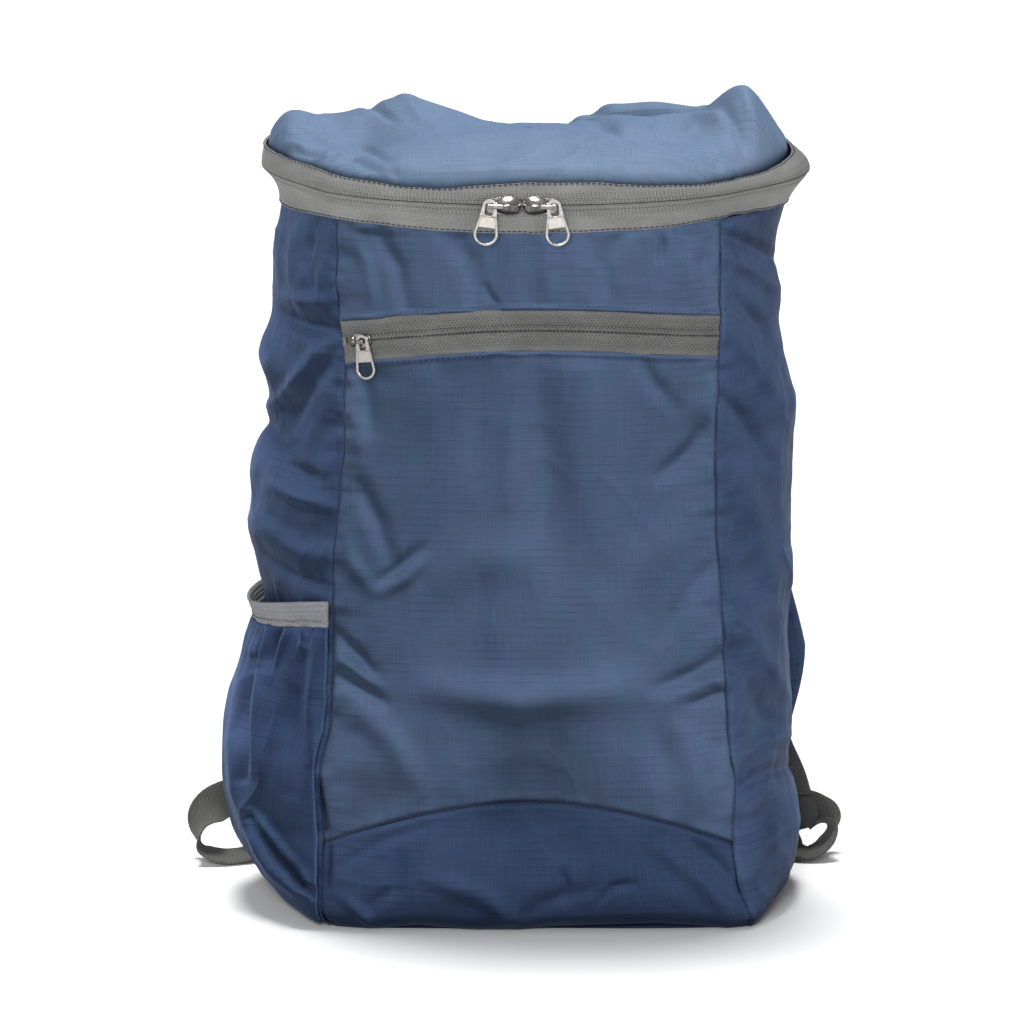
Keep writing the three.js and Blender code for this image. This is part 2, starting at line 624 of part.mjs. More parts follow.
// A round bar along the surface, through the points of a route.
function roundBar(points, ways, radius, sides) {
  const rings = points.map((point, k) => {
    const before = points[Math.max(k - 1, 0)];
    const after = points[Math.min(k + 1, points.length - 1)];
    const along = after.clone().sub(before).normalize();
    const first = ways[k].clone().addScaledVector(along, -ways[k].dot(along)).normalize();
    const second = along.clone().cross(first);
    return Array.from({ length: sides }, (_, n) => {
      const angle = (2 * Math.PI * n) / sides;
      return point
        .clone()
        .addScaledVector(first, radius * Math.cos(angle))
        .addScaledVector(second, radius * Math.sin(angle));
    });
  });
  return bar(rings);
}

// Sliders. Their frame's y = 0 is the outer face of the tapes.
const PLATE_TOP = SLIDER_CLEARANCE + SLIDER_PLATE;
const PULL_LEVEL = PLATE_TOP + PULL_PLAY; // the underside of the pull
const BRIDGE_LEVEL = PULL_LEVEL + PULL_THICKNESS + PULL_PLAY;
const SUNK = 0.2; // how far the joined pieces of a slider reach into each other
const neckPlace = (size) => size.postToDome - 0.1 * size.domeLength; // from the post's axis
const coilStop = (size) => neckPlace(size) - NECK_LENGTH / 2 - SEAM_GAP;

// A plate with round corners, between two levels.
function plate(length, width, from, to, middle) {
  const shape = new THREE.Shape();
  const round = width * 0.4;
  const [x, z] = [length / 2 - round, width / 2 - round];
  shape.absarc(x, -z, round, -Math.PI / 2, 0);
  shape.absarc(x, z, round, 0, Math.PI / 2);
  shape.absarc(-x, z, round, Math.PI / 2, Math.PI);
  shape.absarc(-x, -z, round, Math.PI, 1.5 * Math.PI);
  const options = { depth: to - from, bevelEnabled: false, curveSegments: 3 };
  return new THREE.ExtrudeGeometry(shape, options).rotateX(-Math.PI / 2).translate(middle, from, 0);
}

// A dome that stands on y = 0, as half of a lathed profile.
function domeOf(radiusX, rise, radiusZ) {
  const STEPS = 5;
  const profile = [new THREE.Vector2(0, 0)];
  for (let k = 0; k <= STEPS; k++) {
    const angle = (k / STEPS) * (Math.PI / 2);
    profile.push(new THREE.Vector2(k === STEPS ? 0 : Math.cos(angle), Math.sin(angle)));
  }
  return new THREE.LatheGeometry(profile, 14).scale(radiusX, rise, radiusZ);
}
function slider(size) {
  const back = TAPE + COIL_GAP + 2 * size.coil + SLIDER_CLEARANCE;
  const middle = size.postToDome + size.domeLength / 2 - 0.6 - size.length / 2;
  const outerPlate = plate(size.length, size.width, SLIDER_CLEARANCE, PLATE_TOP, middle);
  const innerPlate = plate(size.length, size.width, -back - SLIDER_PLATE, -back, middle);
  const neckHeight = back + SLIDER_CLEARANCE + 2 * SUNK;
  const neck = new THREE.BoxGeometry(NECK_LENGTH, neckHeight, SLIDER_NECK);
  neck.translate(neckPlace(size), SLIDER_CLEARANCE + SUNK - neckHeight / 2, 0);
  const dome = domeOf(size.domeLength / 2, size.domeRise, size.domeWidth / 2);
  dome.translate(size.postToDome, PLATE_TOP - SUNK, 0);
  const postHeight = BRIDGE_LEVEL + BRIDGE / 2 - PLATE_TOP + SUNK;
  const post = new THREE.CylinderGeometry(POST_RADIUS, POST_RADIUS, postHeight, 10);
  post.translate(0, PLATE_TOP - SUNK + postHeight / 2, 0);
  const bridge = new THREE.BoxGeometry(size.postToDome + POST_RADIUS, BRIDGE, 2 * POST_RADIUS);
  bridge.translate((size.postToDome - POST_RADIUS) / 2, BRIDGE_LEVEL + BRIDGE / 2, 0);
  return join(outerPlate, innerPlate, neck, dome, post, bridge);
}

// A pull hangs in its frame's x and z from its upper hole, which the post goes through.
function pull(size) {
  const half = size.width / 2;
  const bottom = size.ring - size.length + half; // the height of the lower arc's centre
  const shape = new THREE.Shape();
  shape.absarc(0, 0, size.ring, 0, Math.PI);
  shape.bezierCurveTo(-size.ring, bottom * 0.5, -half, bottom * 0.7, -half, bottom);
  shape.absarc(0, bottom, half, Math.PI, 2 * Math.PI);
  shape.bezierCurveTo(half, bottom * 0.7, size.ring, bottom * 0.5, size.ring, 0);
  const inside = size.ring - PULL_RIM;
  const hole = new THREE.Path();
  hole.absarc(0, 0, inside, Math.PI, 0, true);
  hole.absarc(0, -PULL_SLOT, inside, 0, -Math.PI, true);
  hole.closePath();
  const top = -PULL_SLOT - inside - PULL_PLATE;
  const grip = new THREE.Path();
  grip.moveTo(-inside, top).lineTo(inside, top).lineTo(half - PULL_RIM, bottom);
  grip.absarc(0, bottom, half - PULL_RIM, 0, -Math.PI, true);
  grip.closePath();
  shape.holes.push(hole, grip);
  const options = { depth: PULL_THICKNESS, bevelEnabled: false, curveSegments: 5 };
  const geometry = new THREE.ExtrudeGeometry(shape, options);
  return geometry.rotateX(Math.PI / 2).translate(0, PULL_THICKNESS + PULL_LEVEL, 0);
}

// Puts a piece from a slider's frame on the bag: its post at one point of the zip, its nose towards another.
function place(geometry, post, towards, out, tilt = 0) {
  const along = towards.clone().sub(post).normalize();
  const outwards = out.clone().addScaledVector(along, -out.dot(along)).normalize();
  const up = along.clone().cross(outwards);
  if (up.z < 0) up.negate();
  const matrix = new THREE.Matrix4().makeBasis(along, outwards, up).setPosition(post);
  const turned = geometry.clone();
  if (tilt) turned.rotateY(THREE.MathUtils.degToRad(tilt));
  turned.applyMatrix4(matrix);
  const merged = mergeVertices(bareGeometry(turned), 1e-4);
  const flat = merged.attributes.position;
  const points = Array.from({ length: flat.count }, (_, k) => vector().fromBufferAttribute(flat, k));
  return fromSolid(toSolid(closed(points, Array.from(merged.index.array))));
}

// The side that has a given x on the front, at a given height.
function frontSide(x, z) {
  const seam = section(x < 0 ? 1.00001 : 1.99999, z).x;
  return 1.5 + (0.5 * Math.abs(x)) / Math.abs(seam) * Math.sign(x);
}

// Main sliders, nose to nose
const zipPoint = (side) => rimPoint(side, stand(side) + TAPE, rimHeight(side));
const FORWARD = vector(0, -1, 0);
const mainSliders = [
  { name: "left", nose: 1, x: SLIDER_MIDDLE - SLIDER_SPREAD / 2 },
  { name: "right", nose: -1, x: SLIDER_MIDDLE + SLIDER_SPREAD / 2 },
];
for (const { name, nose, x } of mainSliders) {
  const post = zipPoint(frontSide(x, RIM_HEIGHT));
  const neck = zipPoint(frontSide(x + nose * neckPlace(MAIN_SLIDER), RIM_HEIGHT));
  add("main_slider_" + name, place(slider(MAIN_SLIDER), post, neck, FORWARD), METAL);
  add("main_pull_" + name, place(pull(MAIN_PULL), post, neck, FORWARD, PULL_TILT), METAL);
}

// Coil of the main zip, one length on each side of the sliders
const MAIN_COIL_STEPS = 20;
function mainCoil(from, to) {
  const sides = Array.from({ length: MAIN_COIL_STEPS + 1 }, (_, k) => mix(from, to, k / MAIN_COIL_STEPS));
  const points = sides.map((side) => rimPoint(side, stand(side) - COIL_GAP - COIL_RADIUS, rimHeight(side)));
  return roundBar(points, sides.map(levelOut), COIL_RADIUS, 6);
}
const coilEnd = ({ x, nose }) => frontSide(x + nose * coilStop(MAIN_SLIDER), RIM_HEIGHT);
const COIL_INSET = 0.025; // the sides left free at the back seams
add("main_zip_coil_left", mainCoil(COIL_INSET, coilEnd(mainSliders[0])), DARK_GREY);
add("main_zip_coil_right", mainCoil(coilEnd(mainSliders[1]), 3 - COIL_INSET), DARK_GREY);

// Front pocket zip, level with the cloth
const pocketTape = { first: 1, columns: 12, rows: 1, folds: [], lift: -SEAM_GAP, thickness: TAPE };
add(
  "pocket_zip_lower",
  panel({ ...pocketTape, bottom: pocketZipLine(-HALF_POCKET_ZIP + HALF_GAP), top: pocketZipLine(-HALF_SLOT) }),
  GREY,
);
add(
  "pocket_zip_upper",
  panel({ ...pocketTape, bottom: pocketZipLine(HALF_SLOT), top: pocketZipLine(HALF_POCKET_ZIP - HALF_GAP) }),
  GREY,
);
const pocketZip = (side, depth) => off(side, pocketZipLine(0)(2 * (side - 1) - 1), -SEAM_GAP - depth);
const pocketPlace = (x) => frontSide(x, POCKET_ZIP_HEIGHT);
const pocketSide = pocketPlace(POCKET_SLIDER_PLACE);
const pocketOut = outward(pocketSide, toReach(POCKET_ZIP_HEIGHT)).setZ(0).normalize();
const pocketPost = pocketZip(pocketSide, 0);
const pocketNeck = pocketZip(pocketPlace(POCKET_SLIDER_PLACE - neckPlace(POCKET_SLIDER)), 0);
add("pocket_slider", place(slider(POCKET_SLIDER), pocketPost, pocketNeck, pocketOut), METAL);
add("pocket_pull", place(pull(POCKET_PULL), pocketPost, pocketNeck, pocketOut), METAL);
const coilStart = pocketPlace(POCKET_SLIDER_PLACE - coilStop(POCKET_SLIDER));
const POCKET_COIL_STEPS = 14;
const pocketCoil = Array.from({ length: POCKET_COIL_STEPS + 1 }, (_, k) =>
  pocketZip(mix(coilStart, 2 - COIL_INSET, k / POCKET_COIL_STEPS), TAPE + COIL_GAP + POCKET_COIL_RADIUS),
);
add(
  "pocket_zip_coil",
  roundBar(pocketCoil, pocketCoil.map(() => vector(0, 0, 1)), POCKET_COIL_RADIUS, 6),
  DARK_GREY,
);

// Side pocket on the left: a gathered panel over the side, and the elastic along its mouth
const POCKET_FROM = 0.03; // sides where it starts and ends
const POCKET_TO = 0.985;
const pocketSideAt = (u) => mix(POCKET_FROM, POCKET_TO, u);
const mouthHeight = (u) => POCKET_HEIGHT + MOUTH_RISE * clamp(2 * u - 1, 0, 1) ** 1.2;
const mouthStand = (u) => SEAM_GAP + ELASTIC_STAND * Math.sin(Math.PI * u) ** 0.8 * mix(1.15, 0.6, u);
function pocketStand(u, v) {
  const low = SEAM_GAP + CLOTH;
  const swell = POCKET_BULGE * Math.sin(Math.PI * u) ** 0.75;
  const profile = Math.sin(Math.PI * Math.min(1, 0.012 + 0.988 * v) ** 0.8) ** 0.7;
  const mouth = (mouthStand(u) + CLOTH - low) * clamp(v, 0, 1) ** 2;
  const gather = GATHER_DEPTH * v ** 4 * Math.cos(2 * Math.PI * GATHERS * u) * Math.sin(Math.PI * u);
  const line = 0.18 + 0.3 * (1 - u);
  const crease = CREASE_DEPTH * bell(v - line, 0.07) * Math.sin(Math.PI * u) ** 0.5;
  const calm = clamp(6 * u, 0, 1) * clamp(6 * (1 - u), 0, 1) * clamp(8 * v, 0, 1);
  return Math.max(low, low + swell * profile + mouth + calm * (gather * (1 - v ** 12) - crease));
}
const pocketFoot = BASE_REACH * 0.35;
const pocketWay = (u, v) => mix(pocketFoot, toReach(mouthHeight(u) - HALF_GAP), v);
add(
  "side_pocket",
  wall(
    16,
    14,
    (u, v) => off(pocketSideAt(u), pocketWay(u, v), pocketStand(u, v)),
    (u, v) => off(pocketSideAt(u), pocketWay(u, v), pocketStand(u, v) - CLOTH),
  ),
  DARK_BLUE,
);
const elasticWay = (u, v) => toReach(mouthHeight(u) + HALF_GAP + v * ELASTIC_WIDTH);
const elasticStand = (u, v) => mouthStand(u) + ELASTIC_LEAN * v * Math.sin(Math.PI * u);
add(
  "side_pocket_elastic",
  wall(
    16,
    2,
    (u, v) => off(pocketSideAt(u), elasticWay(u, v), elasticStand(u, v) + ELASTIC),
    (u, v) => off(pocketSideAt(u), elasticWay(u, v), elasticStand(u, v)),
  ),
  GREY,
);

// Straps. A route becomes stations, evenly spaced along a smooth curve.
const BACK = vector(0, 1, 0);
function stations(rows, count, mirror, widthAt) {
  const onBag = ({ x, y, z }) =>
    vector((mirror * x * BODY_WIDTH) / 2, ((1 + y) * BODY_DEPTH) / 2, z * RIM_HEIGHT);
  const curve = new THREE.CatmullRomCurve3(rows.map(onBag), false, "centripetal");
  return Array.from({ length: count + 1 }, (_, k) => {
    const along = curve.getTangent(k / count);
    const wanted = widthAt(k / count, along);
    const width = wanted.addScaledVector(along, -wanted.dot(along)).normalize();
    return { point: curve.getPoint(k / count), along, width, share: k / count };
  });
}
const facingBack = (share, along) => BACK.clone().cross(along);
const turning = (rows) => {
  const listed = rows.map((row, k) => ({ ...row, at: k / (rows.length - 1) }));
  return (share) => vector(...["widthX", "widthY", "widthZ"].map((name) => smooth(listed, "at", name, share)));
};

// A flat piece through its stations: its width is a function of the way along, and its edges are bevelled.
function strip(line, width, thickness, bevel) {
  return bar(
    line.map(({ point, along, width: across, share }) => {
      const flat = across.clone().cross(along).normalize();
      const [half, deep] = [width(share) / 2, thickness / 2];
      const corners = [
        [half, deep * 0.3],
        [half - bevel, deep],
        [bevel - half, deep],
        [-half, deep * 0.3],
        [-half, -deep * 0.3],
        [bevel - half, -deep],
        [half - bevel, -deep],
        [half, -deep * 0.3],
      ];
      return corners.map(([w, d]) => point.clone().addScaledVector(across, w).addScaledVector(flat, d));
    }),
  );
}

const strapWidth = (share) => mix(STRAP_WIDTH, STRAP_END_WIDTH, clamp(6 * share - 5, 0, 1));
for (const [name, mirror, webRoute] of [
  ["left", -1, LEFT_WEB_ROUTE],
  ["right", 1, RIGHT_WEB_ROUTE],
]) {
  const strap = stations(STRAP_ROUTE, 16, mirror, facingBack);
  add("shoulder_strap_" + name, strip(strap, strapWidth, STRAP_THICKNESS, 2.5), BLUE);
  const tab = stations(TAB_ROUTE, 4, mirror, facingBack);
  add("strap_tab_" + name, strip(tab, () => TAB_WIDTH, TAB_THICKNESS, 0.4), GREY);
  const web = stations(webRoute, 18, 1, turning(webRoute));
  add("strap_web_" + name, strip(web, () => WEB_WIDTH, WEB_THICKNESS, 0.3), GREY);

  // The lock hangs from the end of the tab, in its plane, and the webbing starts at its back.
  const end = tab.at(-1);
  const lock = plate(LOCK_WIDTH, LOCK_HEIGHT, -LOCK_THICKNESS / 2, LOCK_THICKNESS / 2, 0);
  const face = end.width.clone().cross(end.along).normalize();
  const lockPlace = end.point.clone().addScaledVector(end.along, LOCK_HEIGHT / 2 + SEAM_GAP);
  const basis = new THREE.Matrix4().makeBasis(end.width, face, end.width.clone().cross(face));
  add("strap_lock_" + name, lock.applyMatrix4(basis.setPosition(lockPlace)), DARK_GREY);
}

// Haul loop across the top of the back, its two ends flat on the panel
const HAUL_POINTS = table(["across", "out", "drop"], [
  [-1, 0, 0],
  [-0.72, 0.02, 0],
  [-0.5, 0.45, 0.3],
  [-0.25, 0.9, 0.9],
  [0.25, 0.9, 0.9],
  [0.5, 0.45, 0.3],
  [0.72, 0.02, 0],
  [1, 0, 0],
]);
const HAUL_STEPS = 14;
const haulFace = BODY_DEPTH / 2 + SEAM_GAP + WEB_THICKNESS / 2;
const haulCurve = new THREE.CatmullRomCurve3(
  HAUL_POINTS.map(({ across, out, drop }) =>
    vector((across * HAUL_SPAN) / 2, haulFace + out * HAUL_REACH, HAUL_HEIGHT - drop * HAUL_DROP),
  ),
);
const haul = Array.from({ length: HAUL_STEPS + 1 }, (_, k) => {
  const along = haulCurve.getTangent(k / HAUL_STEPS);
  const rise = vector(0, 0, 1);
  const width = rise.addScaledVector(along, -rise.dot(along)).normalize();
  return { point: haulCurve.getPoint(k / HAUL_STEPS), along, width, share: k / HAUL_STEPS };
});
add("haul_loop", strip(haul, () => HAUL_WIDTH, WEB_THICKNESS, 0.3), GREY);

// Metal stop at the closed end of the pocket zip, over both tapes
const stop = new THREE.BoxGeometry(STOP_LENGTH, TAPE, STOP_WIDTH).translate(0, TAPE / 2 + SLIDER_CLEARANCE, 0);
const stopPost = pocketZip(pocketPlace(STOP_PLACE), 0);
const stopNext = pocketZip(pocketPlace(STOP_PLACE - STOP_LENGTH), 0);
add("pocket_zip_stop", place(stop, stopPost, stopNext, pocketOut), METAL);

export default group;
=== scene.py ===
# The looks of a light travel backpack that stands by itself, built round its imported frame. Blender is in
# metres. The tables and functions below are in millimetres, with +Z up and the front towards -Y.
import math

import bpy
import numpy as np
from mathutils import Matrix, Vector


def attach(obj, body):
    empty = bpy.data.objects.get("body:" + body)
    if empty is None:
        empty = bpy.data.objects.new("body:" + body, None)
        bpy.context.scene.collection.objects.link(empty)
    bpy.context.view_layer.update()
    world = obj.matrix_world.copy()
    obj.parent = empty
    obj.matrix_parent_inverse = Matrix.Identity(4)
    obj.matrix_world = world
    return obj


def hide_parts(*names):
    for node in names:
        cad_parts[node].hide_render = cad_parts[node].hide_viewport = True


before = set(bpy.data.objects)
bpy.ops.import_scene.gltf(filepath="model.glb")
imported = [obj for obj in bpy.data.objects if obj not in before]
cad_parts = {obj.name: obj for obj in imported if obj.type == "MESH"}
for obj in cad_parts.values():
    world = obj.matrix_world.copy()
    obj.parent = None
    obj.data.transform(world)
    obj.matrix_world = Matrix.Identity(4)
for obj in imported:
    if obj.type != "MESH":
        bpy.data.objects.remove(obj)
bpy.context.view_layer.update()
MM = 0.001

# Camera, at the photograph's viewing angle
VIEW_DISTANCE = 4000
VIEW_ELEVATION = math.radians(12)
VIEW_AIM = np.array([-9.36, 0, 204.5])
PIXEL = 0.52  # the size of one of the photograph's pixels at the aim
HALF_PHOTO = 512
FOCAL = VIEW_DISTANCE / PIXEL
camera_data = bpy.data.cameras.new("camera")
camera_data.sensor_width = 36
camera_data.lens = 36 * FOCAL / (2 * HALF_PHOTO)
camera_data.clip_end = 40
camera = bpy.data.objects.new("camera", camera_data)
camera.location = Vector(
    VIEW_AIM + VIEW_DISTANCE * np.array([0, -math.cos(VIEW_ELEVATION), math.sin(VIEW_ELEVATION)])
) * MM
camera.rotation_euler = (math.pi / 2 - VIEW_ELEVATION, 0, 0)
bpy.context.scene.collection.objects.link(camera)
bpy.context.scene.camera = camera


def photo(points):
    """Where points of the bag are in the photograph, in its pixels."""
    x, y, z = np.moveaxis(points - VIEW_AIM, -1, 0)
    cos, sin = math.cos(VIEW_ELEVATION), math.sin(VIEW_ELEVATION)
    away = VIEW_DISTANCE + y * cos - z * sin
    return HALF_PHOTO + x * FOCAL / away, HALF_PHOTO - (y * sin + z * cos) * FOCAL / away


# Body
RIM_HEIGHT = 380
BODY_WIDTH = 274
BODY_DEPTH = 156
FRONT_WIDTH = 200
BACK_WIDTH = 232
BASE_RADIUS = 10
CLOTH = 1.6
SEAM_GAP = 0.35
ARCH_FOOT = 45
ARCH_RISE = 24
LID_RISE = 28
LID_TUCK = 2.2
LID_LAP = 2.4
BACK_RISE = 14
TAPE_WIDTH = 13.5
UPPER_TAPE_WIDTH = 11.5
TAPE = 1.2
TAPE_LAP = 2.5
TAPE_STAND = 4
ZIP_SLOT = 0.7
SLIDER_SPREAD = 32.5
SLIDER_MIDDLE = -4.3
POCKET_ZIP_HEIGHT = 315.5
POCKET_ZIP_SAG = 5.5
POCKET_ZIP_DROP = 3
POCKET_ZIP_WIDTH = 21.5
POCKET_SLIDER_PLACE = -85.2
POCKET_HEIGHT = 148
POCKET_BULGE = 15.8
MOUTH_RISE = 11
ELASTIC_WIDTH = 13
ELASTIC = 1.8
ELASTIC_STAND = 8
STRAP_WIDTH = 58
STRAP_END_WIDTH = 34
STRAP_THICKNESS = 7

# Sections of the body: height, left seam, right seam, left reach, right reach, front, crown, back, square
# and sharp, as shares of the sizes above.
SECTIONS = np.array([
    [0.0, 1.08, 1.18, 0.9, 0.93, 1.05, 0.1, 1.02, 0.68, 3],
    [0.05, 1.08, 1.09, 0.955, 1.02, 1.1, 0.14, 1.03, 0.7, 3],
    [0.12, 1.07, 1.05, 1.015, 1.03, 1.09, 0.16, 1.03, 0.72, 3],
    [0.2, 1.075, 1.06, 1.03, 0.985, 1.08, 0.18, 1.02, 0.78, 3],
    [0.27, 1.05, 1.025, 1.015, 0.985, 1.05, 0.18, 1.02, 0.8, 3],
    [0.4, 1.02, 0.995, 0.985, 0.985, 1.04, 0.17, 1.01, 0.82, 3],
    [0.5, 1.015, 0.97, 1.06, 0.985, 1.03, 0.17, 1.01, 0.84, 3],
    [0.6, 0.98, 0.953, 1.055, 0.985, 1.03, 0.17, 1.0, 0.86, 3],
    [0.69, 0.952, 0.952, 0.97, 0.995, 1.03, 0.17, 1.0, 0.86, 3],
    [0.755, 0.95, 0.96, 1.025, 0.965, 1.03, 0.18, 0.99, 0.88, 3.4],
    [0.83, 0.975, 0.97, 0.978, 0.948, 1.03, 0.2, 0.98, 0.92, 3.8],
    [0.91, 1.0, 0.973, 0.958, 0.928, 1.01, 0.23, 0.97, 0.96, 4.2],
    [1.0, 0.985, 0.965, 0.915, 0.985, 0.98, 0.25, 0.96, 1.0, 4.5],
])
LEFT_SEAM, RIGHT_SEAM, LEFT_REACH, RIGHT_REACH, FRONT, CROWN, BACK_SHARE, SQUARE, SHARP = range(1, 10)

# The rim: side, then how far the zip and the upper tape's top edge stand out, and the zip's rise.
RIM = np.array([
    [0, 0.2, 0, 0.75],
    [0.3, 2.4, 2.0, 0.6],
    [0.6, 3.0, 3.2, 0.45],
    [1, 1.4, 0.8, 0.25],
    [1.5, 1, 0, 0],
    [2, 1.5, 0, 0.2],
    [2.4, 2.0, 0.2, 0.25],
    [2.7, 1.8, 0.1, 0.4],
    [3, 0.2, 0, 0.6],
])
BACK_EDGE = np.array([
    [-1, 0.55], [-0.6, 1.1], [-0.2, 0.85], [0.1, 0.75], [0.4, 1.5], [0.75, 1.6], [1, 0.7],
])
# Forms of the lid: x, y, their reaches and the rise
LID_FORMS = [
    (-0.95, 0.2, 0.14, 0.5, 0.9),
    (-0.455, 0.4, 0.12, 0.45, 0.29),
    (-0.3, 0.4, 0.13, 0.4, 0.2),
    (-0.6, 0.35, 0.13, 0.42, 0.22),
    (0.0, 0.8, 0.3, 0.45, -0.36),
    (0.06, -0.2, 0.4, 0.5, -0.02),
    (0.48, 0.86, 0.28, 0.2, 0.36),
    (0.29, 0.86, 0.07, 0.2, 0.15),
    (0.42, 0.5, 0.3, 0.13, -0.4),
    (0.83, 0.25, 0.15, 0.5, 1.22),
    (-0.62, -0.35, 0.09, 0.4, -0.2),
    (0.35, -0.35, 0.12, 0.3, 0.12),
]


# Numbers
def smooth(rows, column, at):
    """A column of a table at places between its rows, as a smooth curve."""
    at = np.asarray(at, float)
    x, y = rows[:, 0], rows[:, column]
    k = np.clip(np.searchsorted(x, at, side="right") - 1, 0, len(x) - 2)
    before = np.maximum(np.arange(len(x)) - 1, 0)
    after = np.minimum(np.arange(len(x)) + 1, len(x) - 1)
    slopes = (y[after] - y[before]) / (x[after] - x[before])
    span = x[k + 1] - x[k]
    t = np.clip((at - x[k]) / span, 0, 1)
    start, end = slopes[k] * span, slopes[k + 1] * span
    t2, t3 = t * t, t * t * t
    ends = y[k] * (2 * t3 - 3 * t2 + 1) + y[k + 1] * (3 * t2 - 2 * t3)
    return ends + start * (t3 - 2 * t2 + t) + end * (t3 - t2)


def lattice(ix, iy, seed):
    h = (ix.astype(np.int64) * 374761393 + iy.astype(np.int64) * 668265263 + seed * 974634777) & 0xFFFFFFFF
    h = ((h ^ (h >> 13)) * 1274126177) & 0xFFFFFFFF
    return ((h ^ (h >> 16)) & 0xFFFF) / 32767.5 - 1


def ripple(x, y, seed=0):
    """A soft repeatable noise from about -1 to 1, one swell for each unit of x and y."""
    x, y = np.broadcast_arrays(np.asarray(x, float), np.asarray(y, float))
    ix, iy = np.floor(x), np.floor(y)
    fx, fy = x - ix, y - iy
    fx, fy = fx ** 3 * (fx * (6 * fx - 15) + 10), fy ** 3 * (fy * (6 * fy - 15) + 10)
    low = lattice(ix, iy, seed) * (1 - fx) + lattice(ix + 1, iy, seed) * fx
    high = lattice(ix, iy + 1, seed) * (1 - fx) + lattice(ix + 1, iy + 1, seed) * fx
    return low * (1 - fy) + high * fy


def layered(x, y, seed=0, layers=3):
    return sum(ripple(x * 2.1 ** k, y * 2.1 ** k, seed + k) / 1.9 ** k for k in range(layers))


def ridged(x, y, seed=0):
    """Noise of narrow ridges, from 0 to 1, as cloth that has been crushed has."""
    bend = layered(x * 0.6, y * 0.6, seed + 11, 2)
    return (1 - np.abs(layered(x + 0.5 * bend, y + 0.5 * bend, seed, 2))).clip(0) ** 3


def bell(distance, reach):
    return np.exp(-((distance / reach) ** 2))


def step(low, high, x):
    t = np.clip((x - low) / (high - low), 0, 1)
    return t * t * (3 - 2 * t)


CREASE_SHARE = 1.45


def creases(points, rows):
    """How far creases move points. Each is a line in the photograph's pixels, its width and its depth."""
    u, v = photo(points)
    total = np.zeros(u.shape)
    for line, width, depth in rows:
        best = np.full(u.shape, 1e9)
        along = np.zeros(u.shape)
        count = len(line) - 1
        for k in range(count):
            (u1, v1), (u2, v2) = line[k], line[k + 1]
            du, dv = u2 - u1, v2 - v1
            t = np.clip(((u - u1) * du + (v - v1) * dv) / (du * du + dv * dv), 0, 1)
            gap = np.hypot(u - u1 - t * du, v - v1 - t * dv)
            nearer = gap < best
            best = np.where(nearer, gap, best)
            along = np.where(nearer, (k + t) / count, along)
        total += CREASE_SHARE * depth * bell(best, width) * np.sin(np.pi * (0.08 + 0.84 * along)) ** 0.6
    return total


# Surface of the body. side runs from 0 at the back left seam to 1, 2 and 3 at the seams that follow, and reach
# is the way up the cloth from the end of the roll at the ground.
BASE_REACH = -BASE_RADIUS * math.pi / 2


def to_reach(z):
    return z - BASE_RADIUS


def wobble(z, seed):
    """How far a front seam wanders from its line."""
    pinch = step(RIM_HEIGHT, RIM_HEIGHT - 30, z) * step(0, 25, z)
    return pinch * (0.8 * ripple(z / 23, 0.5, seed) + 0.45 * ripple(z / 8, 0.5, seed + 1))


def section(side, z):
    side, z = np.broadcast_arrays(np.asarray(side, float) % 4, np.asarray(z, float))
    share = np.clip(z / RIM_HEIGHT, 0, 1)
    read = lambda column: smooth(SECTIONS, column, share)
    front_y = -read(FRONT) * BODY_DEPTH / 2
    seam_y = front_y + read(CROWN) * BODY_DEPTH / 2
    back_x = read(BACK_SHARE) * BACK_WIDTH / 2
    back_seam_y = BODY_DEPTH / 2 - BODY_DEPTH * 0.035
    left_seam = read(LEFT_SEAM) * FRONT_WIDTH / 2 + wobble(z, 3)
    left_seam = left_seam + 1.6 * bell(z - 84, 12) - 1.6 * bell(z - 112, 16) - 1.2 * bell(z - 350, 14)
    right_seam = read(RIGHT_SEAM) * FRONT_WIDTH / 2 + wobble(z, 7)
    across = 2 * (side - 1) - 1
    front = np.stack([
        across * np.where(across < 0, left_seam, right_seam),
        front_y + (seam_y - front_y) * np.abs(across) ** read(SHARP),
        z,
    ], -1)
    over = 1 - 2 * (side - 3)
    back = np.stack([over * back_x, BODY_DEPTH / 2 + (back_seam_y - BODY_DEPTH / 2) * over * over, z], -1)
    left = side <= 1
    from_front = np.clip(np.where(left, 1 - side, side - 2), 0, 1)
    seam_x = np.where(left, left_seam, right_seam)
    reach_x = np.where(left, read(LEFT_REACH), read(RIGHT_REACH)) * BODY_WIDTH / 2
    swell = reach_x - (seam_x + back_x) / 2
    bulge = np.clip(np.sin(np.pi * from_front), 0, 1) ** read(SQUARE)
    x = seam_x + (back_x - seam_x) * from_front + swell * bulge
    flank = np.stack([np.where(left, -x, x), seam_y + (back_seam_y - seam_y) * from_front, z], -1)
    is_front = ((side > 1) & (side < 2))[..., None]
    return np.where(is_front, front, np.where((side > 3)[..., None], back, flank))


def skin(side, reach):
    side, reach = np.broadcast_arrays(np.asarray(side, float), np.asarray(reach, float))
    angle = math.pi / 2 + np.clip(reach, BASE_REACH, 0) / BASE_RADIUS
    z = np.where(reach >= 0, BASE_RADIUS + reach, BASE_RADIUS * (1 - np.cos(angle)))
    point = section(side, z)
    inset = np.where(reach >= 0, 0, BASE_RADIUS * (1 - np.sin(angle)))
    flat = np.hypot(point[..., 0], point[..., 1])
    point[..., :2] *= (1 - inset / flat)[..., None]
    return point


def unit(vectors):
    return vectors / np.linalg.norm(vectors, axis=-1, keepdims=True)


def outward(side, reach, side_step=0.008, reach_step=1.5):
    along = skin(side + side_step, reach) - skin(side - side_step, reach)
    low = np.maximum(reach - reach_step, BASE_REACH)
    up = skin(side, low + 2 * reach_step) - skin(side, low)
    return unit(np.cross(along, up))


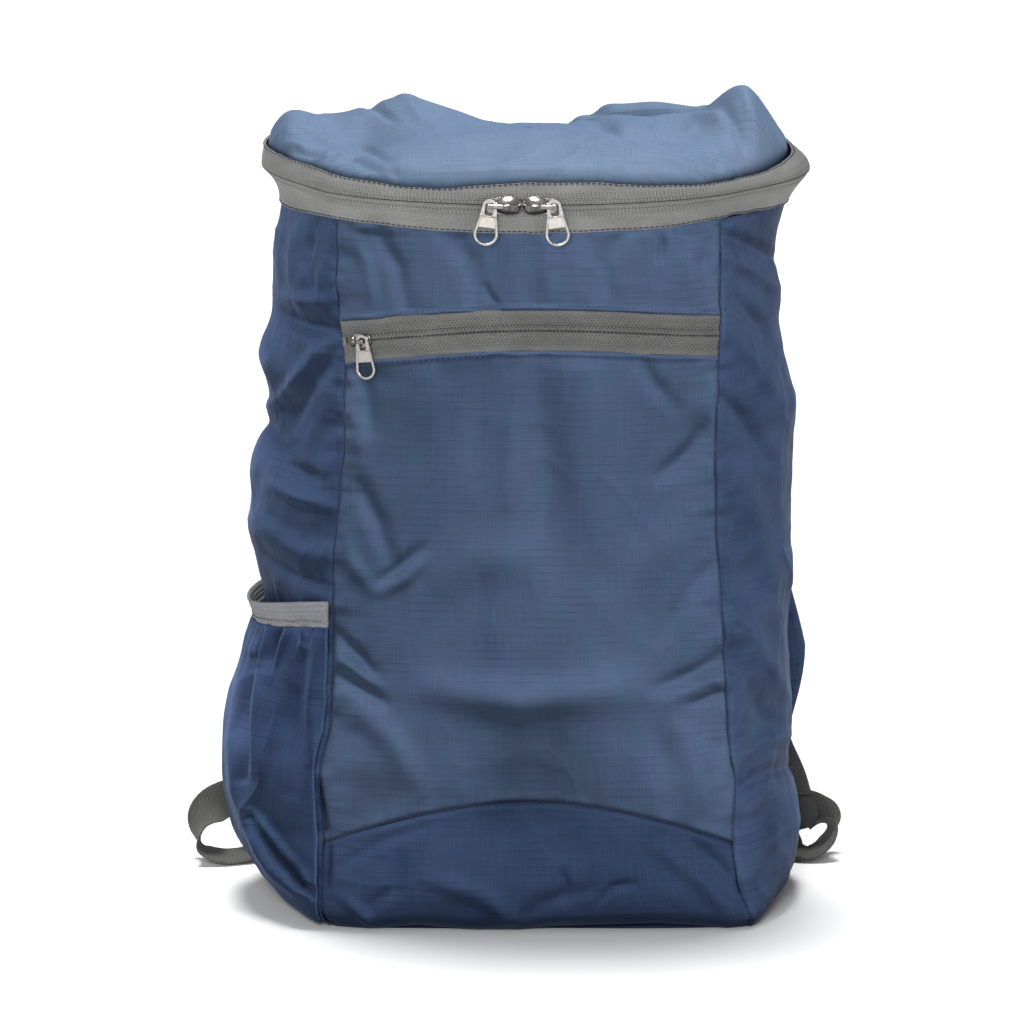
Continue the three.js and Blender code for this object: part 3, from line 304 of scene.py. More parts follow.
# Meshes
bag = "bag"


def make(name, points, faces, uv, material):
    """A mesh object from points in millimetres, one uv for each point."""
    mesh = bpy.data.meshes.new(name)
    mesh.from_pydata((points.reshape(-1, 3) * MM).tolist(), [], list(map(list, faces)))
    mesh.polygons.foreach_set("use_smooth", [True] * len(faces))
    if uv is not None:
        layer = mesh.uv_layers.new(name="uv")
        corners = np.empty(len(mesh.loops), np.int32)
        mesh.loops.foreach_get("vertex_index", corners)
        layer.data.foreach_set("uv", (uv.reshape(-1, 2)[corners] * MM).astype(np.float32).ravel())
    mesh.update()
    piece = bpy.data.objects.new(name, mesh)
    bpy.context.scene.collection.objects.link(piece)
    mesh.materials.append(material)
    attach(piece, bag)
    return piece


def grid_faces(rows, columns, around=False):
    last = columns if around else columns - 1
    j, i = np.mgrid[0:rows - 1, 0:last]
    n = (i + 1) % columns
    low, high = j * columns, (j + 1) * columns
    return np.stack([low + i, low + n, high + n, high + i], -1).reshape(-1, 4)


def sheet(name, points, uv, material, nodes, thickness=0):
    """A grid of points as a sheet of cloth, in place of CAD nodes."""
    rows, columns = points.shape[:2]
    piece = make(name, points, grid_faces(rows, columns), uv, material)
    if thickness:
        piece.modifiers.new("thickness", "SOLIDIFY").thickness = thickness * MM
    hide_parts(*nodes)
    return piece


def lengths(points, axis):
    """The way along a grid of points on one of its axes."""
    steps = np.linalg.norm(np.diff(points, axis=axis), axis=-1)
    start = np.zeros([1 if a == axis else n for a, n in enumerate(steps.shape)])
    return np.concatenate([start, np.cumsum(steps, axis=axis)], axis=axis)


# Materials
def nodes_of(name):
    material = bpy.data.materials.new(name)
    material.use_nodes = True
    tree = material.node_tree
    return material, Maker(tree), tree.nodes["Principled BSDF"]


def tinted(colour, share, more=0.0):
    return tuple(min(1, share * c + more) for c in colour[:3]) + (1,)


class Maker:
    """Adds shader nodes with short calls. A socket or a number may stand for any input."""

    def __init__(self, tree):
        self.tree = tree

    def fill(self, node, inputs):
        for key, value in inputs.items():
            if isinstance(value, bpy.types.NodeSocket):
                self.tree.links.new(value, node.inputs[key])
            else:
                node.inputs[key].default_value = value

    def put(self, kind, inputs, **settings):
        node = self.tree.nodes.new(kind)
        for key, value in settings.items():
            setattr(node, key, value)
        self.fill(node, inputs)
        return node

    def math(self, operation, a, b=0.0, c=0.0):
        return self.put("ShaderNodeMath", {0: a, 1: b, 2: c}, operation=operation).outputs[0]

    def product(self, a, b):
        return self.math("MULTIPLY", a, b)

    def mix(self, share, a, b, blend="MIX"):
        inputs = {0: share, 6: a, 7: b}
        return self.put("ShaderNodeMix", inputs, data_type="RGBA", blend_type=blend).outputs[2]

    def noise(self, place, scale, detail=3.0, roughness=0.5, distortion=0.0):
        inputs = {"Vector": place, "Scale": scale, "Detail": detail, "Roughness": roughness}
        inputs["Distortion"] = distortion
        return self.put("ShaderNodeTexNoise", inputs).outputs["Fac"]

    def between(self, value, low, high, to_low=0.0, to_high=1.0):
        inputs = {"Value": value, "From Min": low, "From Max": high, "To Min": to_low, "To Max": to_high}
        return self.put("ShaderNodeMapRange", inputs, clamp=True).outputs[0]

    def scaled(self, place, x, y, z=1.0):
        return self.put("ShaderNodeMapping", {"Vector": place, "Scale": (x, y, z)}).outputs[0]

    def bump(self, height, distance, below=None):
        inputs = {"Height": height, "Distance": distance, "Strength": 1.0}
        if below is not None:
            inputs["Normal"] = below
        return self.put("ShaderNodeBump", inputs).outputs[0]

    def coordinate(self, name):
        return self.put("ShaderNodeTexCoord", {}).outputs[name]

    def parts(self, vector):
        return self.put("ShaderNodeSeparateXYZ", {0: vector}).outputs

    def uv(self):
        """The uv, in metres along and across the piece."""
        place = self.put("ShaderNodeUVMap", {}, uv_map="uv").outputs[0]
        x, y, _ = self.parts(place)
        return place, x, y

    def line_near(self, coordinate, period, width):
        """1 on thin lines a period apart, falling to 0 a width away."""
        wrapped = self.math("FRACT", self.math("DIVIDE", coordinate, period))
        middle = self.math("ABSOLUTE", self.math("SUBTRACT", wrapped, 0.5))
        return self.between(middle, 0.0, width / period, 1.0, 0.0)


# Ripstop, in metres: how far apart its ribs are both ways, and how wide they are
RIBS_ACROSS, RIBS_UP, RIB_WIDTH = 0.00404, 0.0042, 0.00042
# Where the painted shadow line beside each rib lies, and how wide it is
RIB_SHADE_ACROSS, RIB_SHADE_UP, RIB_SHADE_WIDTH = 0.0006, 0.0007, 0.0005
CLOTH_BEND = 0.0012
# The colour of the painted shade in deep folds
FOLD_SHADE_COLOUR = (0.004, 0.006, 0.012, 1)


def ripstop(name, colour, second, shade, level, satin):
    """Blue ripstop nylon: cloudy satin of two blues, ribs 4 mm apart both ways with a painted highlight on each rib
    and a painted shadow line beside it, and patches of finer threads.
    Level is the upward slope that has the plain tone, and how much slopes across and upwards change it: painted
    light and shade by the way the cloth faces. The point attribute deep adds painted shade in folds."""
    material, m, shader = nodes_of(name)
    colour, second, shade = (tinted(c, 1) for c in (colour, second, shade))
    place, x, y = m.uv()
    bend = m.noise(m.scaled(place, 25, 25), 1.0, 2.0)
    x = m.math("MULTIPLY_ADD", bend, CLOTH_BEND, x)
    y = m.math("MULTIPLY_ADD", bend, -CLOTH_BEND, y)
    patch_across = m.between(m.noise(m.scaled(place, 28, 50), 1.0, 3.0, 0.6), 0.42, 0.6)
    patch_up = m.between(m.noise(m.scaled(place, 55, 24), 3.0, 3.0, 0.6), 0.45, 0.62)
    across_rib = m.product(m.line_near(y, RIBS_ACROSS, RIB_WIDTH), patch_across)
    below_rib = m.math("ADD", y, RIB_SHADE_ACROSS)
    across_rib_shadow = m.product(m.line_near(below_rib, RIBS_ACROSS, RIB_SHADE_WIDTH), patch_across)
    up_rib = m.product(m.line_near(x, RIBS_UP, RIB_WIDTH), patch_up)
    beside_rib = m.math("ADD", x, RIB_SHADE_UP)
    up_rib_shadow = m.product(m.line_near(beside_rib, RIBS_UP, RIB_SHADE_WIDTH), patch_up)
    threads_up = m.noise(m.scaled(place, 1050, 60), 1.0, 2.0, 0.6)
    threads_across = m.noise(m.scaled(place, 60, 1050), 1.0, 2.0, 0.6)
    cloud = m.noise(m.scaled(place, 11, 8), 1.0, 4.0, 0.6)
    hue = m.noise(m.scaled(place, 34, 18), 2.0, 3.0, 0.6)
    light, dark = tinted(colour, 1.75, 0.02), tinted(shade, 0.5)
    tone = m.mix(m.between(hue, 0.38, 0.64), second, colour)
    tone = m.mix(m.between(cloud, 0.36, 0.62, 0.75, 0), tone, shade)
    tone = m.mix(m.between(threads_up, 0.35, 0.68, 0, 0.1), tone, light)
    tone = m.mix(m.between(threads_across, 0.64, 0.34, 0, 0.14), tone, dark)
    # A painted shadow line beside each rib, and a painted highlight on the ribs themselves
    tone = m.mix(m.product(m.math("MAXIMUM", across_rib_shadow, m.product(up_rib_shadow, 0.4)), 0.42), tone, dark)
    tone = m.mix(m.product(m.math("MAXIMUM", m.product(across_rib, 0.6), up_rib), 0.16), tone, light)
    # Painted light and shade from the object's normals: lighter where the cloth faces up, darker where it faces
    # down, and lighter where it turns towards +X, darker towards -X
    across, _, up = m.parts(m.coordinate("Normal"))
    turned = m.product(across, m.math("SUBTRACT", 1.0, m.product(across, across)))
    plain_up, across_gain, up_gain = level
    slope = m.product(m.math("SUBTRACT", up, plain_up), up_gain)
    slope = m.math("MULTIPLY_ADD", turned, across_gain, slope)
    tone = m.mix(1.0, tone, m.between(slope, -0.55, 0.5, 0.45, 1.5), "MULTIPLY")
    # Painted shade: the point attribute deep darkens the colour towards the fold shade colour
    deep = m.put("ShaderNodeAttribute", {}, attribute_name="deep").outputs["Fac"]
    surface = m.bump(m.noise(m.scaled(place, 26, 14), 1.0, 3.0, 0.55, 0.8), 0.0016)
    surface = m.bump(m.noise(m.scaled(place, 150, 110), 1.0, 3.0, 0.6, 0.5), 0.0004, surface)
    ribs = m.math("ADD", m.math("MAXIMUM", across_rib, up_rib), m.product(threads_across, 0.5))
    m.fill(shader, {
        "Base Color": m.mix(deep, tone, FOLD_SHADE_COLOUR),
        "Roughness": m.between(m.noise(m.scaled(place, 30, 22), 1.0, 3.0), 0.3, 0.7, 0.46, 0.62),
        "Normal": m.bump(ribs, 0.0001, surface),
        "Specular IOR Level": satin,
        "IOR": 1.3,
        "Specular Tint": (0.45, 0.65, 1, 1),
        "Sheen Weight": 0.12,
        "Sheen Roughness": 0.4,
        "Sheen Tint": (0.3, 0.5, 1, 1),
    })
    return material


def grey_cloth(m, shader, tone, colour, dark, place, height, relief, sheen):
    """Gives grey cloth its specks, its gloss and a relief that height(specks) says."""
    speck = m.noise(m.scaled(place, 1500, 1500), 1.0, 2.0, 0.7)
    tone = m.mix(m.between(speck, 0.5, 0.72, 0, 0.55), tone, tinted(colour, 1.55))
    m.fill(shader, {
        "Base Color": m.mix(m.between(speck, 0.48, 0.3, 0, 0.5), tone, tinted(dark, 0.4)),
        "Roughness": 0.8,
        "Specular IOR Level": 0.25,
        "Sheen Weight": sheen,
        "Normal": m.bump(height(speck), relief),
    })


KNIT_ROW, KNIT_STITCH, STROKE_STEP = 0.00125, 0.0019, 0.0017


def zip_cloth(name, colour, dark, knit_to, strokes_from):
    """Woven zip tape. y runs away from the zip: rows of knitted dots first, and slanting strokes outside."""
    material, m, shader = nodes_of(name)
    place, x, y = m.uv()
    row = m.math("DIVIDE", y, KNIT_ROW)
    shift = m.product(m.math("FLOOR", row), 0.5)
    dot_x = m.math("SUBTRACT", m.math("FRACT", m.math("MULTIPLY_ADD", x, 1 / KNIT_STITCH, shift)), 0.5)
    dot_y = m.math("SUBTRACT", m.math("FRACT", row), 0.5)
    far = m.math("ADD", m.math("POWER", m.product(dot_x, 1.5), 2.0), m.math("POWER", dot_y, 2.0))
    dots = m.between(m.math("SQRT", far), 0.16, 0.44, 1, 0)
    dots = m.product(dots, m.between(y, knit_to, knit_to + 0.0015, 1, 0))
    strokes = m.line_near(m.math("MULTIPLY_ADD", y, 1.1, x), STROKE_STEP, 0.0006)
    strokes = m.product(strokes, m.between(y, strokes_from, strokes_from + 0.001))
    patches = m.noise(m.scaled(place, 16, 16), 1.0, 2.0)
    strokes = m.product(strokes, m.between(patches, 0.42, 0.6, 0.15, 0.8))
    cloud = m.noise(m.scaled(place, 45, 70), 1.0, 3.0)
    tone = m.mix(m.between(cloud, 0.3, 0.7), dark, colour)
    tone = m.mix(m.product(dots, 0.72), tone, tinted(dark, 0.22))
    tone = m.mix(m.product(strokes, 0.6), tone, tinted(dark, 0.3))
    height = lambda speck: m.math("SUBTRACT", m.product(speck, 0.6), m.math("ADD", dots, strokes))
    grey_cloth(m, shader, tone, colour, dark, place, height, 0.00028, 0.1)
    return material


def woven(name, colour, dark, rib, slant, coarse):
    """Grey webbing or elastic, with ribs a given way apart that lean by a share of the width."""
    material, m, shader = nodes_of(name)
    place, x, y = m.uv()
    ribs = m.line_near(m.math("MULTIPLY_ADD", m.math("ABSOLUTE", y), slant, x), rib, rib * 0.5)
    threads = m.line_near(y, 0.0009, 0.0004)
    cloud = m.noise(m.scaled(place, 45, 70), 1.0, 3.0)
    tone = m.mix(m.between(cloud, 0.3, 0.7), dark, colour)
    for rows, share in ((ribs, coarse), (threads, 0.3 * coarse)):
        tone = m.mix(m.product(m.between(rows, 0, 1, 1, 0), share), tone, tinted(dark, 0.3))
    height = lambda speck: m.math("ADD", m.math("ADD", ribs, m.product(threads, 0.4)), speck)
    grey_cloth(m, shader, tone, colour, dark, place, height, 0.00022, 0.12)
    return material


def metal(name, bright, painted_dark_reflection, roughness):
    """Plated zinc: fine brushing and dull patches, and painted reflections by the way each face turns: bright on
    what faces up and on what faces almost straight down, a darker tone on what faces sideways or down.
    """
    material, m, shader = nodes_of(name)
    place = m.coordinate("Object")
    facing = m.parts(m.put("ShaderNodeNewGeometry", {}).outputs["Normal"])[2]
    brushing = m.noise(m.scaled(place, 500, 4000, 4000), 1.0, 2.0)
    patch = m.noise(place, 520.0, 3.0, 0.6)
    # Painted reflection: the bright colour on upper faces and on faces that point almost straight down, the dark
    # colour between
    upper = m.between(m.math("MULTIPLY_ADD", patch, 0.3, facing), 0.12, 0.34)
    lip = m.between(facing, -0.78, -0.94)
    tone = m.mix(m.math("MAXIMUM", upper, m.product(lip, 0.8)), painted_dark_reflection, bright)
    m.fill(shader, {
        "Base Color": m.mix(m.between(patch, 0.35, 0.7, 0.4, 0), tone, tinted(bright, 0.55)),
        "Metallic": 1,
        "Roughness": m.between(patch, 0.3, 0.7, roughness * 0.75, roughness * 1.4),
        "Normal": m.bump(brushing, 0.00003),
    })
    return material


def grainy(name, colour, scale, low, shade, roughness, relief):
    """A plain colour with a fine grain: thread, or moulded plastic."""
    material, m, shader = nodes_of(name)
    grain = m.noise(m.coordinate("Object"), scale, 2.0)
    m.fill(shader, {
        "Base Color": m.mix(m.between(grain, low, 0.7), tinted(colour, shade), colour),
        "Roughness": roughness,
        "Normal": m.bump(grain, relief),
    })
    return material


THREAD = (2500.0, 0.3, 0.6, 0.8, 0.0001)
MOULDED = (1800.0, 0.35, 0.8, 0.55, 0.00006)
# One ripstop in lit and shaded copies: the lid's lighter colours are painted light from above, and the darker
# colours of the sides, back, strap pads, low front, base and pocket are painted shade
BLUE, SIDE_BLUE_SHADED, LOW_BLUE_SHADED, LID_BLUE_LIT, POCKET_BLUE_SHADED = (ripstop("ripstop_" + row[0], *row[1:]) for row in (
    ("front", (0.047, 0.077, 0.128), (0.052, 0.069, 0.127), (0.031, 0.05, 0.091), (0, 0.7, 2.1), 0.12),
    ("side", (0.035, 0.06, 0.112), (0.038, 0.054, 0.111), (0.02, 0.034, 0.072), (0, 0.6, 2.1), 0.06),
    ("low", (0.027, 0.047, 0.094), (0.029, 0.043, 0.093), (0.017, 0.029, 0.063), (-0.05, 0.5, 1.1), 0.12),
    ("lid", (0.128, 0.192, 0.283), (0.138, 0.184, 0.28), (0.098, 0.152, 0.238), (0.86, 0.5, 0.65), 0.2),
    ("pocket", (0.034, 0.059, 0.118), (0.037, 0.054, 0.117), (0.018, 0.032, 0.073), (0, 1.2, 2), 0.06),
))
TAPE_GREY = zip_cloth("zip_tape", (0.19, 0.192, 0.186, 1), (0.135, 0.137, 0.132, 1), 0.0058, 0.0068)
POCKET_GREY = zip_cloth("pocket_tape", (0.125, 0.127, 0.124, 1), (0.083, 0.084, 0.082, 1), 0.0075, 0.02)
WEB_GREY = woven("webbing", (0.13, 0.13, 0.124, 1), (0.075, 0.075, 0.072, 1), 0.0017, 1.1, 0.8)
ELASTIC_GREY = woven("elastic", (0.235, 0.24, 0.26, 1), (0.165, 0.17, 0.188, 1), 0.0009, 0.0, 0.3)
METAL = metal("zinc", (0.56, 0.52, 0.5, 1), (0.055, 0.052, 0.05, 1), 0.2)
PULL_METAL = metal("pull_zinc", (0.55, 0.53, 0.51, 1), (0.3, 0.29, 0.28, 1), 0.24)
PLATE_METAL = metal("plate_zinc", (0.5, 0.47, 0.43, 1), (0.42, 0.39, 0.36, 1), 0.36)
COIL = grainy("coil", (0.016, 0.016, 0.018, 1), *MOULDED)
LOCK_GREY = grainy("lock", (0.03, 0.03, 0.032, 1), *MOULDED)
SHADOW_THREAD = grainy("shadow_thread", (0.022, 0.022, 0.022, 1), *MOULDED)
DARK_THREAD = grainy("dark_thread", (0.012, 0.018, 0.05, 1), *THREAD)
BLUE_THREAD = grainy("blue_thread", (0.035, 0.065, 0.17, 1), *THREAD)
GREY_THREAD = grainy("grey_thread", (0.06, 0.058, 0.055, 1), *THREAD)


# Panels of the body
def arch(across):
    return to_reach(ARCH_FOOT + ARCH_RISE * (1 - np.abs(across) ** 1.9))


def pocket_zip_line(across):
    drop = POCKET_ZIP_DROP * np.clip(-np.asarray(across), 0, 1) ** 1.5
    return to_reach(POCKET_ZIP_HEIGHT - POCKET_ZIP_SAG * across * across - drop)


def back_edge(across):
    return RIM_HEIGHT + BACK_RISE * smooth(BACK_EDGE, 1, np.clip(across, -1, 1))


def dip(distance, depth=1.5, width=1.1):
    """The groove of a seam."""
    return -depth * bell(distance, width)


def puckers(distance, along, seed, amount):
    """Small gathers that a seam's stitches pull into the cloth, square to it."""
    wave = ripple(along / 8.5, distance / 14, seed) + 0.5 * ripple(along / 4.2, distance / 9, seed + 1)
    return amount * wave * np.exp(-distance / 9) * (1 - bell(distance, 1.0))


PANEL_TOP = RIM_HEIGHT - TAPE_WIDTH + TAPE_LAP
FRONT_CREASES = [
    (((661, 232), (663, 258)), 3, -1.2),
    (((707, 426), (690, 452), (662, 476)), 9, -1.9),
    (((641, 361), (655, 385), (673, 405)), 9, -1.1),
    (((360, 486), (376, 520), (388, 556)), 9, -1.5),
    (((340, 520), (350, 560), (372, 590)), 8, 1.0),
    (((419, 549), (400, 566), (377, 583)), 6, -1.1),
    (((425, 560), (406, 578), (384, 592)), 7, 1.1),
    (((487, 361), (478, 420), (471, 476)), 12, -1.1),
    (((520, 365), (512, 430), (508, 500)), 13, 1.2),
    (((440, 690), (520, 702), (600, 690)), 16, 0.9),
    (((350, 700), (390, 740), (420, 790)), 14, 1.4),
    (((660, 700), (680, 740), (700, 790)), 16, 1.3),
    (((430, 690), (520, 702), (640, 690)), 22, 1.8),
    (((724, 655), (695, 672), (657, 689)), 8, -1.4),
    (((724, 676), (700, 684), (668, 700)), 8, 1.0),
    (((724, 692), (710, 697), (693, 703)), 5, -1.2),
    (((334, 630), (352, 650), (372, 673)), 6, -1.3),
    (((334, 652), (352, 668), (380, 688)), 6, 1.1),
    (((334, 673), (356, 688), (384, 704)), 6, -1.2),
    (((345, 408), (356, 430), (362, 462)), 10, 1.0),
    (((350, 362), (366, 392), (371, 430)), 9, -1.1),
    (((590, 372), (585, 450), (600, 540)), 26, 1.1),
    (((540, 380), (548, 460), (545, 560)), 18, -0.9),
    (((430, 590), (470, 560), (540, 560)), 24, 1.2),
    (((690, 520), (650, 560), (620, 620)), 20, 1.3),
    (((712, 560), (690, 590), (660, 640)), 9, -0.9),
]
YOKE_CREASES = [
    (((375, 232), (398, 268), (405, 306)), 8, -1.2),
    (((352, 236), (366, 262), (372, 300)), 7, 0.9),
    (((452, 236), (470, 262), (478, 306)), 11, -1.1),
    (((548, 236), (545, 270), (552, 306)), 12, 1.0),
    (((620, 232), (606, 262), (610, 304)), 10, -1.0),
    (((661, 232), (662, 246), (660, 260)), 3, -1.5),
    (((700, 232), (688, 262), (694, 300)), 9, 0.8),
    (((486, 286), (490, 298), (500, 308)), 4, -0.9),
]
HOLLOW = (((462, 800), (530, 792), (604, 800)), 44, -3.9)
FRONT_CREASES.append(HOLLOW)
BASE_CREASES = [
    HOLLOW,
    (((340, 866), (380, 842), (430, 825)), 6, -0.9),
    (((395, 785), (425, 808)), 9, 1.2),
    (((372, 905), (395, 890), (400, 860)), 8, -1.6),
    (((345, 900), (360, 912), (372, 925)), 6, 1.6),
    (((430, 880), (480, 895), (520, 925)), 10, 1.5),
    (((520, 925), (540, 905), (590, 890)), 9, -1.4),
    (((600, 905), (612, 888), (632, 884)), 5, -1.3),
    (((560, 900), (566, 885), (562, 872)), 4, -1.1),
    (((660, 850), (700, 880), (730, 915)), 9, 1.4),
    (((690, 840), (716, 862), (738, 890)), 7, -1.2),
    (((470, 800), (520, 812), (580, 806)), 14, 0.8),
]
LEFT_CREASES = [
    (((285, 316), (308, 326), (337, 330)), 9, -2.6),
    (((279, 296), (300, 302), (334, 300)), 8, 1.4),
    (((318, 350), (296, 380), (272, 412)), 7, 2.2),
    (((334, 352), (310, 392), (290, 430)), 7, -1.6),
    (((287, 462), (303, 474), (322, 480)), 8, -1.8),
    (((275, 486), (298, 496), (325, 506)), 7, 1.6),
    (((300, 220), (292, 255), (300, 300)), 6, 1.2),
    (((316, 224), (308, 262), (316, 296)), 5, -1.1),
    (((330, 250), (322, 270), (318, 300)), 5, 0.8),
    (((262, 520), (286, 545), (326, 560)), 10, 1.3),
    (((258, 550), (290, 574), (328, 588)), 8, -1.4),
    (((330, 400), (312, 440), (300, 470)), 8, 0.9),
    (((262, 410), (282, 440), (300, 452)), 8, -1.5),
    (((268, 285), (262, 350)), 14, -2.2),
    (((266, 388), (272, 412)), 8, 1.8),
    (((250, 470), (248, 530)), 14, -1.2),
]
RIGHT_CREASES = [
    (((727, 236), (756, 247), (779, 261)), 6, -1.6),
    (((727, 256), (752, 270), (778, 288)), 7, 1.3),
    (((738, 300), (764, 325), (791, 382)), 8, -2.0),
    (((730, 330), (752, 360), (780, 400)), 8, 1.4),
    (((722, 396), (744, 418), (767, 461)), 7, -1.7),
    (((740, 470), (756, 520), (770, 580)), 12, 1.2),
    (((728, 480), (740, 540), (752, 600)), 10, -1.1),
    (((742, 620), (764, 660), (792, 700)), 9, 1.2),
    (((730, 640), (748, 690), (770, 730)), 9, -1.3),
    (((738, 760), (764, 740), (792, 736)), 8, 1.3),
    (((740, 790), (766, 772), (796, 764)), 7, -1.4),
    (((744, 880), (764, 846), (796, 820)), 10, 1.4),
    (((778, 300), (784, 345)), 12, -1.9),
    (((787, 545), (788, 590)), 16, 1.9),
    (((794, 705), (790, 740)), 12, 1.9),
]


HEM = np.array([
    [-110, 2.5], [-98, 0.5], [-84, 0], [-70, 1.2], [-58, 2.2], [-44, 1.2], [-28, 0], [-6, 0], [12, 1.6], [40, 2.6],
    [66, 3.2], [88, 1.6], [102, 0], [112, 1],
])


def hem_lift(points, reach, first):
    """How far the foot of the front stands off the ground from place to place."""
    if first != 1:
        return 0 * reach
    return np.interp(points[..., 0], HEM[:, 0], HEM[:, 1]) * step(18, -10, reach)


# Places that lie deep in a fold and get painted shade: a line in the photograph's pixels, its width and how dark
# the painted shade is
FRONT_PAINTED_SHADE = [
    (((318, 776), (323, 800), (328, 828)), 3.0, 0.78),
    (((330, 834), (331, 860), (329, 886)), 2.2, 0.5),
    (((462, 804), (530, 796), (604, 804)), 34, 0.22),
    (((326, 850), (324, 890), (322, 925)), 12, 0.12),
    (((345, 772), (372, 780), (405, 774)), 26, 0.26),
    (((676, 376), (684, 410), (690, 446)), 30, 0.18),
    (((768, 786), (770, 820), (766, 860)), 20, 0.22),
]
POCKET_PAINTED_SHADE = [
    (((250, 812), (262, 832), (276, 850), (290, 866), (300, 880), (312, 894)), 3.6, 0.6),
    (((264, 836), (280, 858), (294, 872), (302, 882)), 7, 0.5),
    (((254, 800), (276, 828), (293, 852), (305, 882)), 6, 0.3),
    (((252, 780), (262, 800), (300, 812)), 14, 0.1),
]


def paint_fold_shade(piece, points, rows, share=1):
    """Marks how deep in a fold each point of the piece lies, for painted shade: the cloth's colour is darker there.
    """
    deep = np.clip(creases(points, rows) * share, 0, 0.93)
    layer = piece.data.attributes.new("deep", "FLOAT", "POINT")
    layer.data.foreach_set("value", deep.astype(np.float32).ravel())


def cloth_piece(name, first, size, low, high, half, detail, material, nodes):
    """A panel between two lines, its surface moved by detail(across, reach, points, edges)."""
    columns, rows = size
    across = np.linspace(-1, 1, columns + 1)[None, :]
    v = np.linspace(0, 1, rows + 1)[:, None]
    bottom, top = low(across), high(across)
    reach = bottom + (top - bottom) * v
    side = first + (across + 1) / 2 + 0 * reach
    base = skin(side, reach)
    out = outward(side, reach)
    edges = {
        "left": (1 + across) * half + 0 * reach,
        "right": (1 - across) * half + 0 * reach,
        "bottom": reach - bottom,
        "top": top - reach,
    }
    points = base + out * detail(across + 0 * reach, reach, base, edges)[..., None]
    points[..., 2] = np.maximum(points[..., 2], 0.15) + hem_lift(points, reach, first)
    uv = np.stack([across * half + 0 * reach, reach], -1)
    piece = sheet(name, points, uv, material, nodes)
    if first < 3:
        paint_fold_shade(piece, points, FRONT_PAINTED_SHADE)
    return piece


POCKET_SEAM = 31


def side_seams(edges, reach, seeds, amount):
    seams = 0
    for name, seed in zip(("left", "right"), seeds):
        depth = 1.5 + (2.6 * bell(reach - 112, 26) if seed == POCKET_SEAM else 0)
        seams = seams + dip(edges[name], depth) + puckers(edges[name], reach, seed, amount)
    return seams


def welt(distance, along, seed):
    """The folded edge of cloth along a zip, with its row of stitches."""
    fold = 0.7 * step(0, 0.6, distance) * step(3.2, 2.4, distance)
    return fold - 0.45 * bell(distance - 2.4, 0.5) + puckers(distance, along, seed, 0.35)


def yoke_detail(across, reach, base, edges):
    x = across * 100
    calm = step(0, 16, np.minimum(edges["left"], edges["right"]))
    drape = calm * (1.1 * layered(x / 22, reach / 90, 21, 2) + 0.2 * ridged(x / 38, reach / 40, 22))
    gather = puckers(edges["top"], x, 23, 0.7) + welt(edges["bottom"], x, 24)
    under_tape = step(1.5, 7, edges["top"])
    return (creases(base, YOKE_CREASES) + drape) * under_tape + gather * step(0, 3, edges["top"]) + side_seams(
        edges, reach, (31, 32), 0.8
    ) * step(0, 4, edges["top"])


def front_detail(across, reach, base, edges):
    x = across * 102
    calm = step(0, 18, np.minimum(edges["left"], edges["right"])) * step(0, 12, edges["top"])
    drape = calm * (1.3 * layered(x / 30, reach / 150, 41, 2) + 0.3 * ridged(x / 60, reach / 70, 42))
    low = step(150, 40, reach) * calm
    crumple = low * (0.45 * layered(x / 34, reach / 26, 43, 2) + 0.3 * ridged(x / 40, reach / 30, 44))
    gather = welt(edges["top"], x, 45) + dip(edges["bottom"], 1.2) + puckers(edges["bottom"], x, 46, 0.5)
    return creases(base, FRONT_CREASES) + drape + crumple + gather + side_seams(edges, reach, (31, 32), 0.9)


def base_detail(across, reach, base, edges):
    x = across * 105
    calm = step(0, 14, np.minimum(edges["left"], edges["right"]))
    crumple = calm * (0.55 * layered(x / 36, reach / 26, 51, 2) + 0.3 * ridged(x / 40, reach / 26, 52))
    crumple = crumple * step(-14, 0, reach) * step(0, 6, edges["top"])
    gather = dip(edges["top"], 1.2) + puckers(edges["top"], x, 46, 0.5)
    folds = creases(base, BASE_CREASES) * step(-14, -2, reach)
    return folds + crumple + gather + side_seams(edges, reach, (31, 32), 0.8)


def flank_detail(rows, seeds, seed):
    def detail(across, reach, base, edges):
        x = across * 84
        calm = step(0, 14, np.minimum(edges["left"], edges["right"]))
        near = step(62, 20, base[..., 1])
        crumple = 0.9 * layered(x / 42, reach / 36, seed) + 1.1 * ridged(x / 50, reach / 40, seed + 1) - 0.3
        crumple = crumple + 0.22 * layered(x / 14, reach / 16, seed + 2, 2)
        crumple = calm * crumple * step(-12, 4, reach) * step(0, 18, edges["top"])
        gather = puckers(edges["top"], x, seed + 3, 0.8)
        return near * creases(base, rows) + crumple + gather + side_seams(edges, reach, seeds, 1.0)
    return detail


def back_detail(across, reach, base, edges):
    x = across * 116
    calm = step(0, 14, np.minimum(edges["left"], edges["right"]))
    flat = 0.25 + 0.75 * step(20, 60, np.abs(x))
    crumple = calm * flat * (0.8 * layered(x / 50, reach / 60, 71) + 0.6 * ridged(x / 55, reach / 48, 72))
    crumple = crumple * step(-12, 4, reach)
    inside = -0.6 * step(12, 0, edges["top"])
    return crumple + inside + side_seams(edges, reach, (34, 33), 0.7)


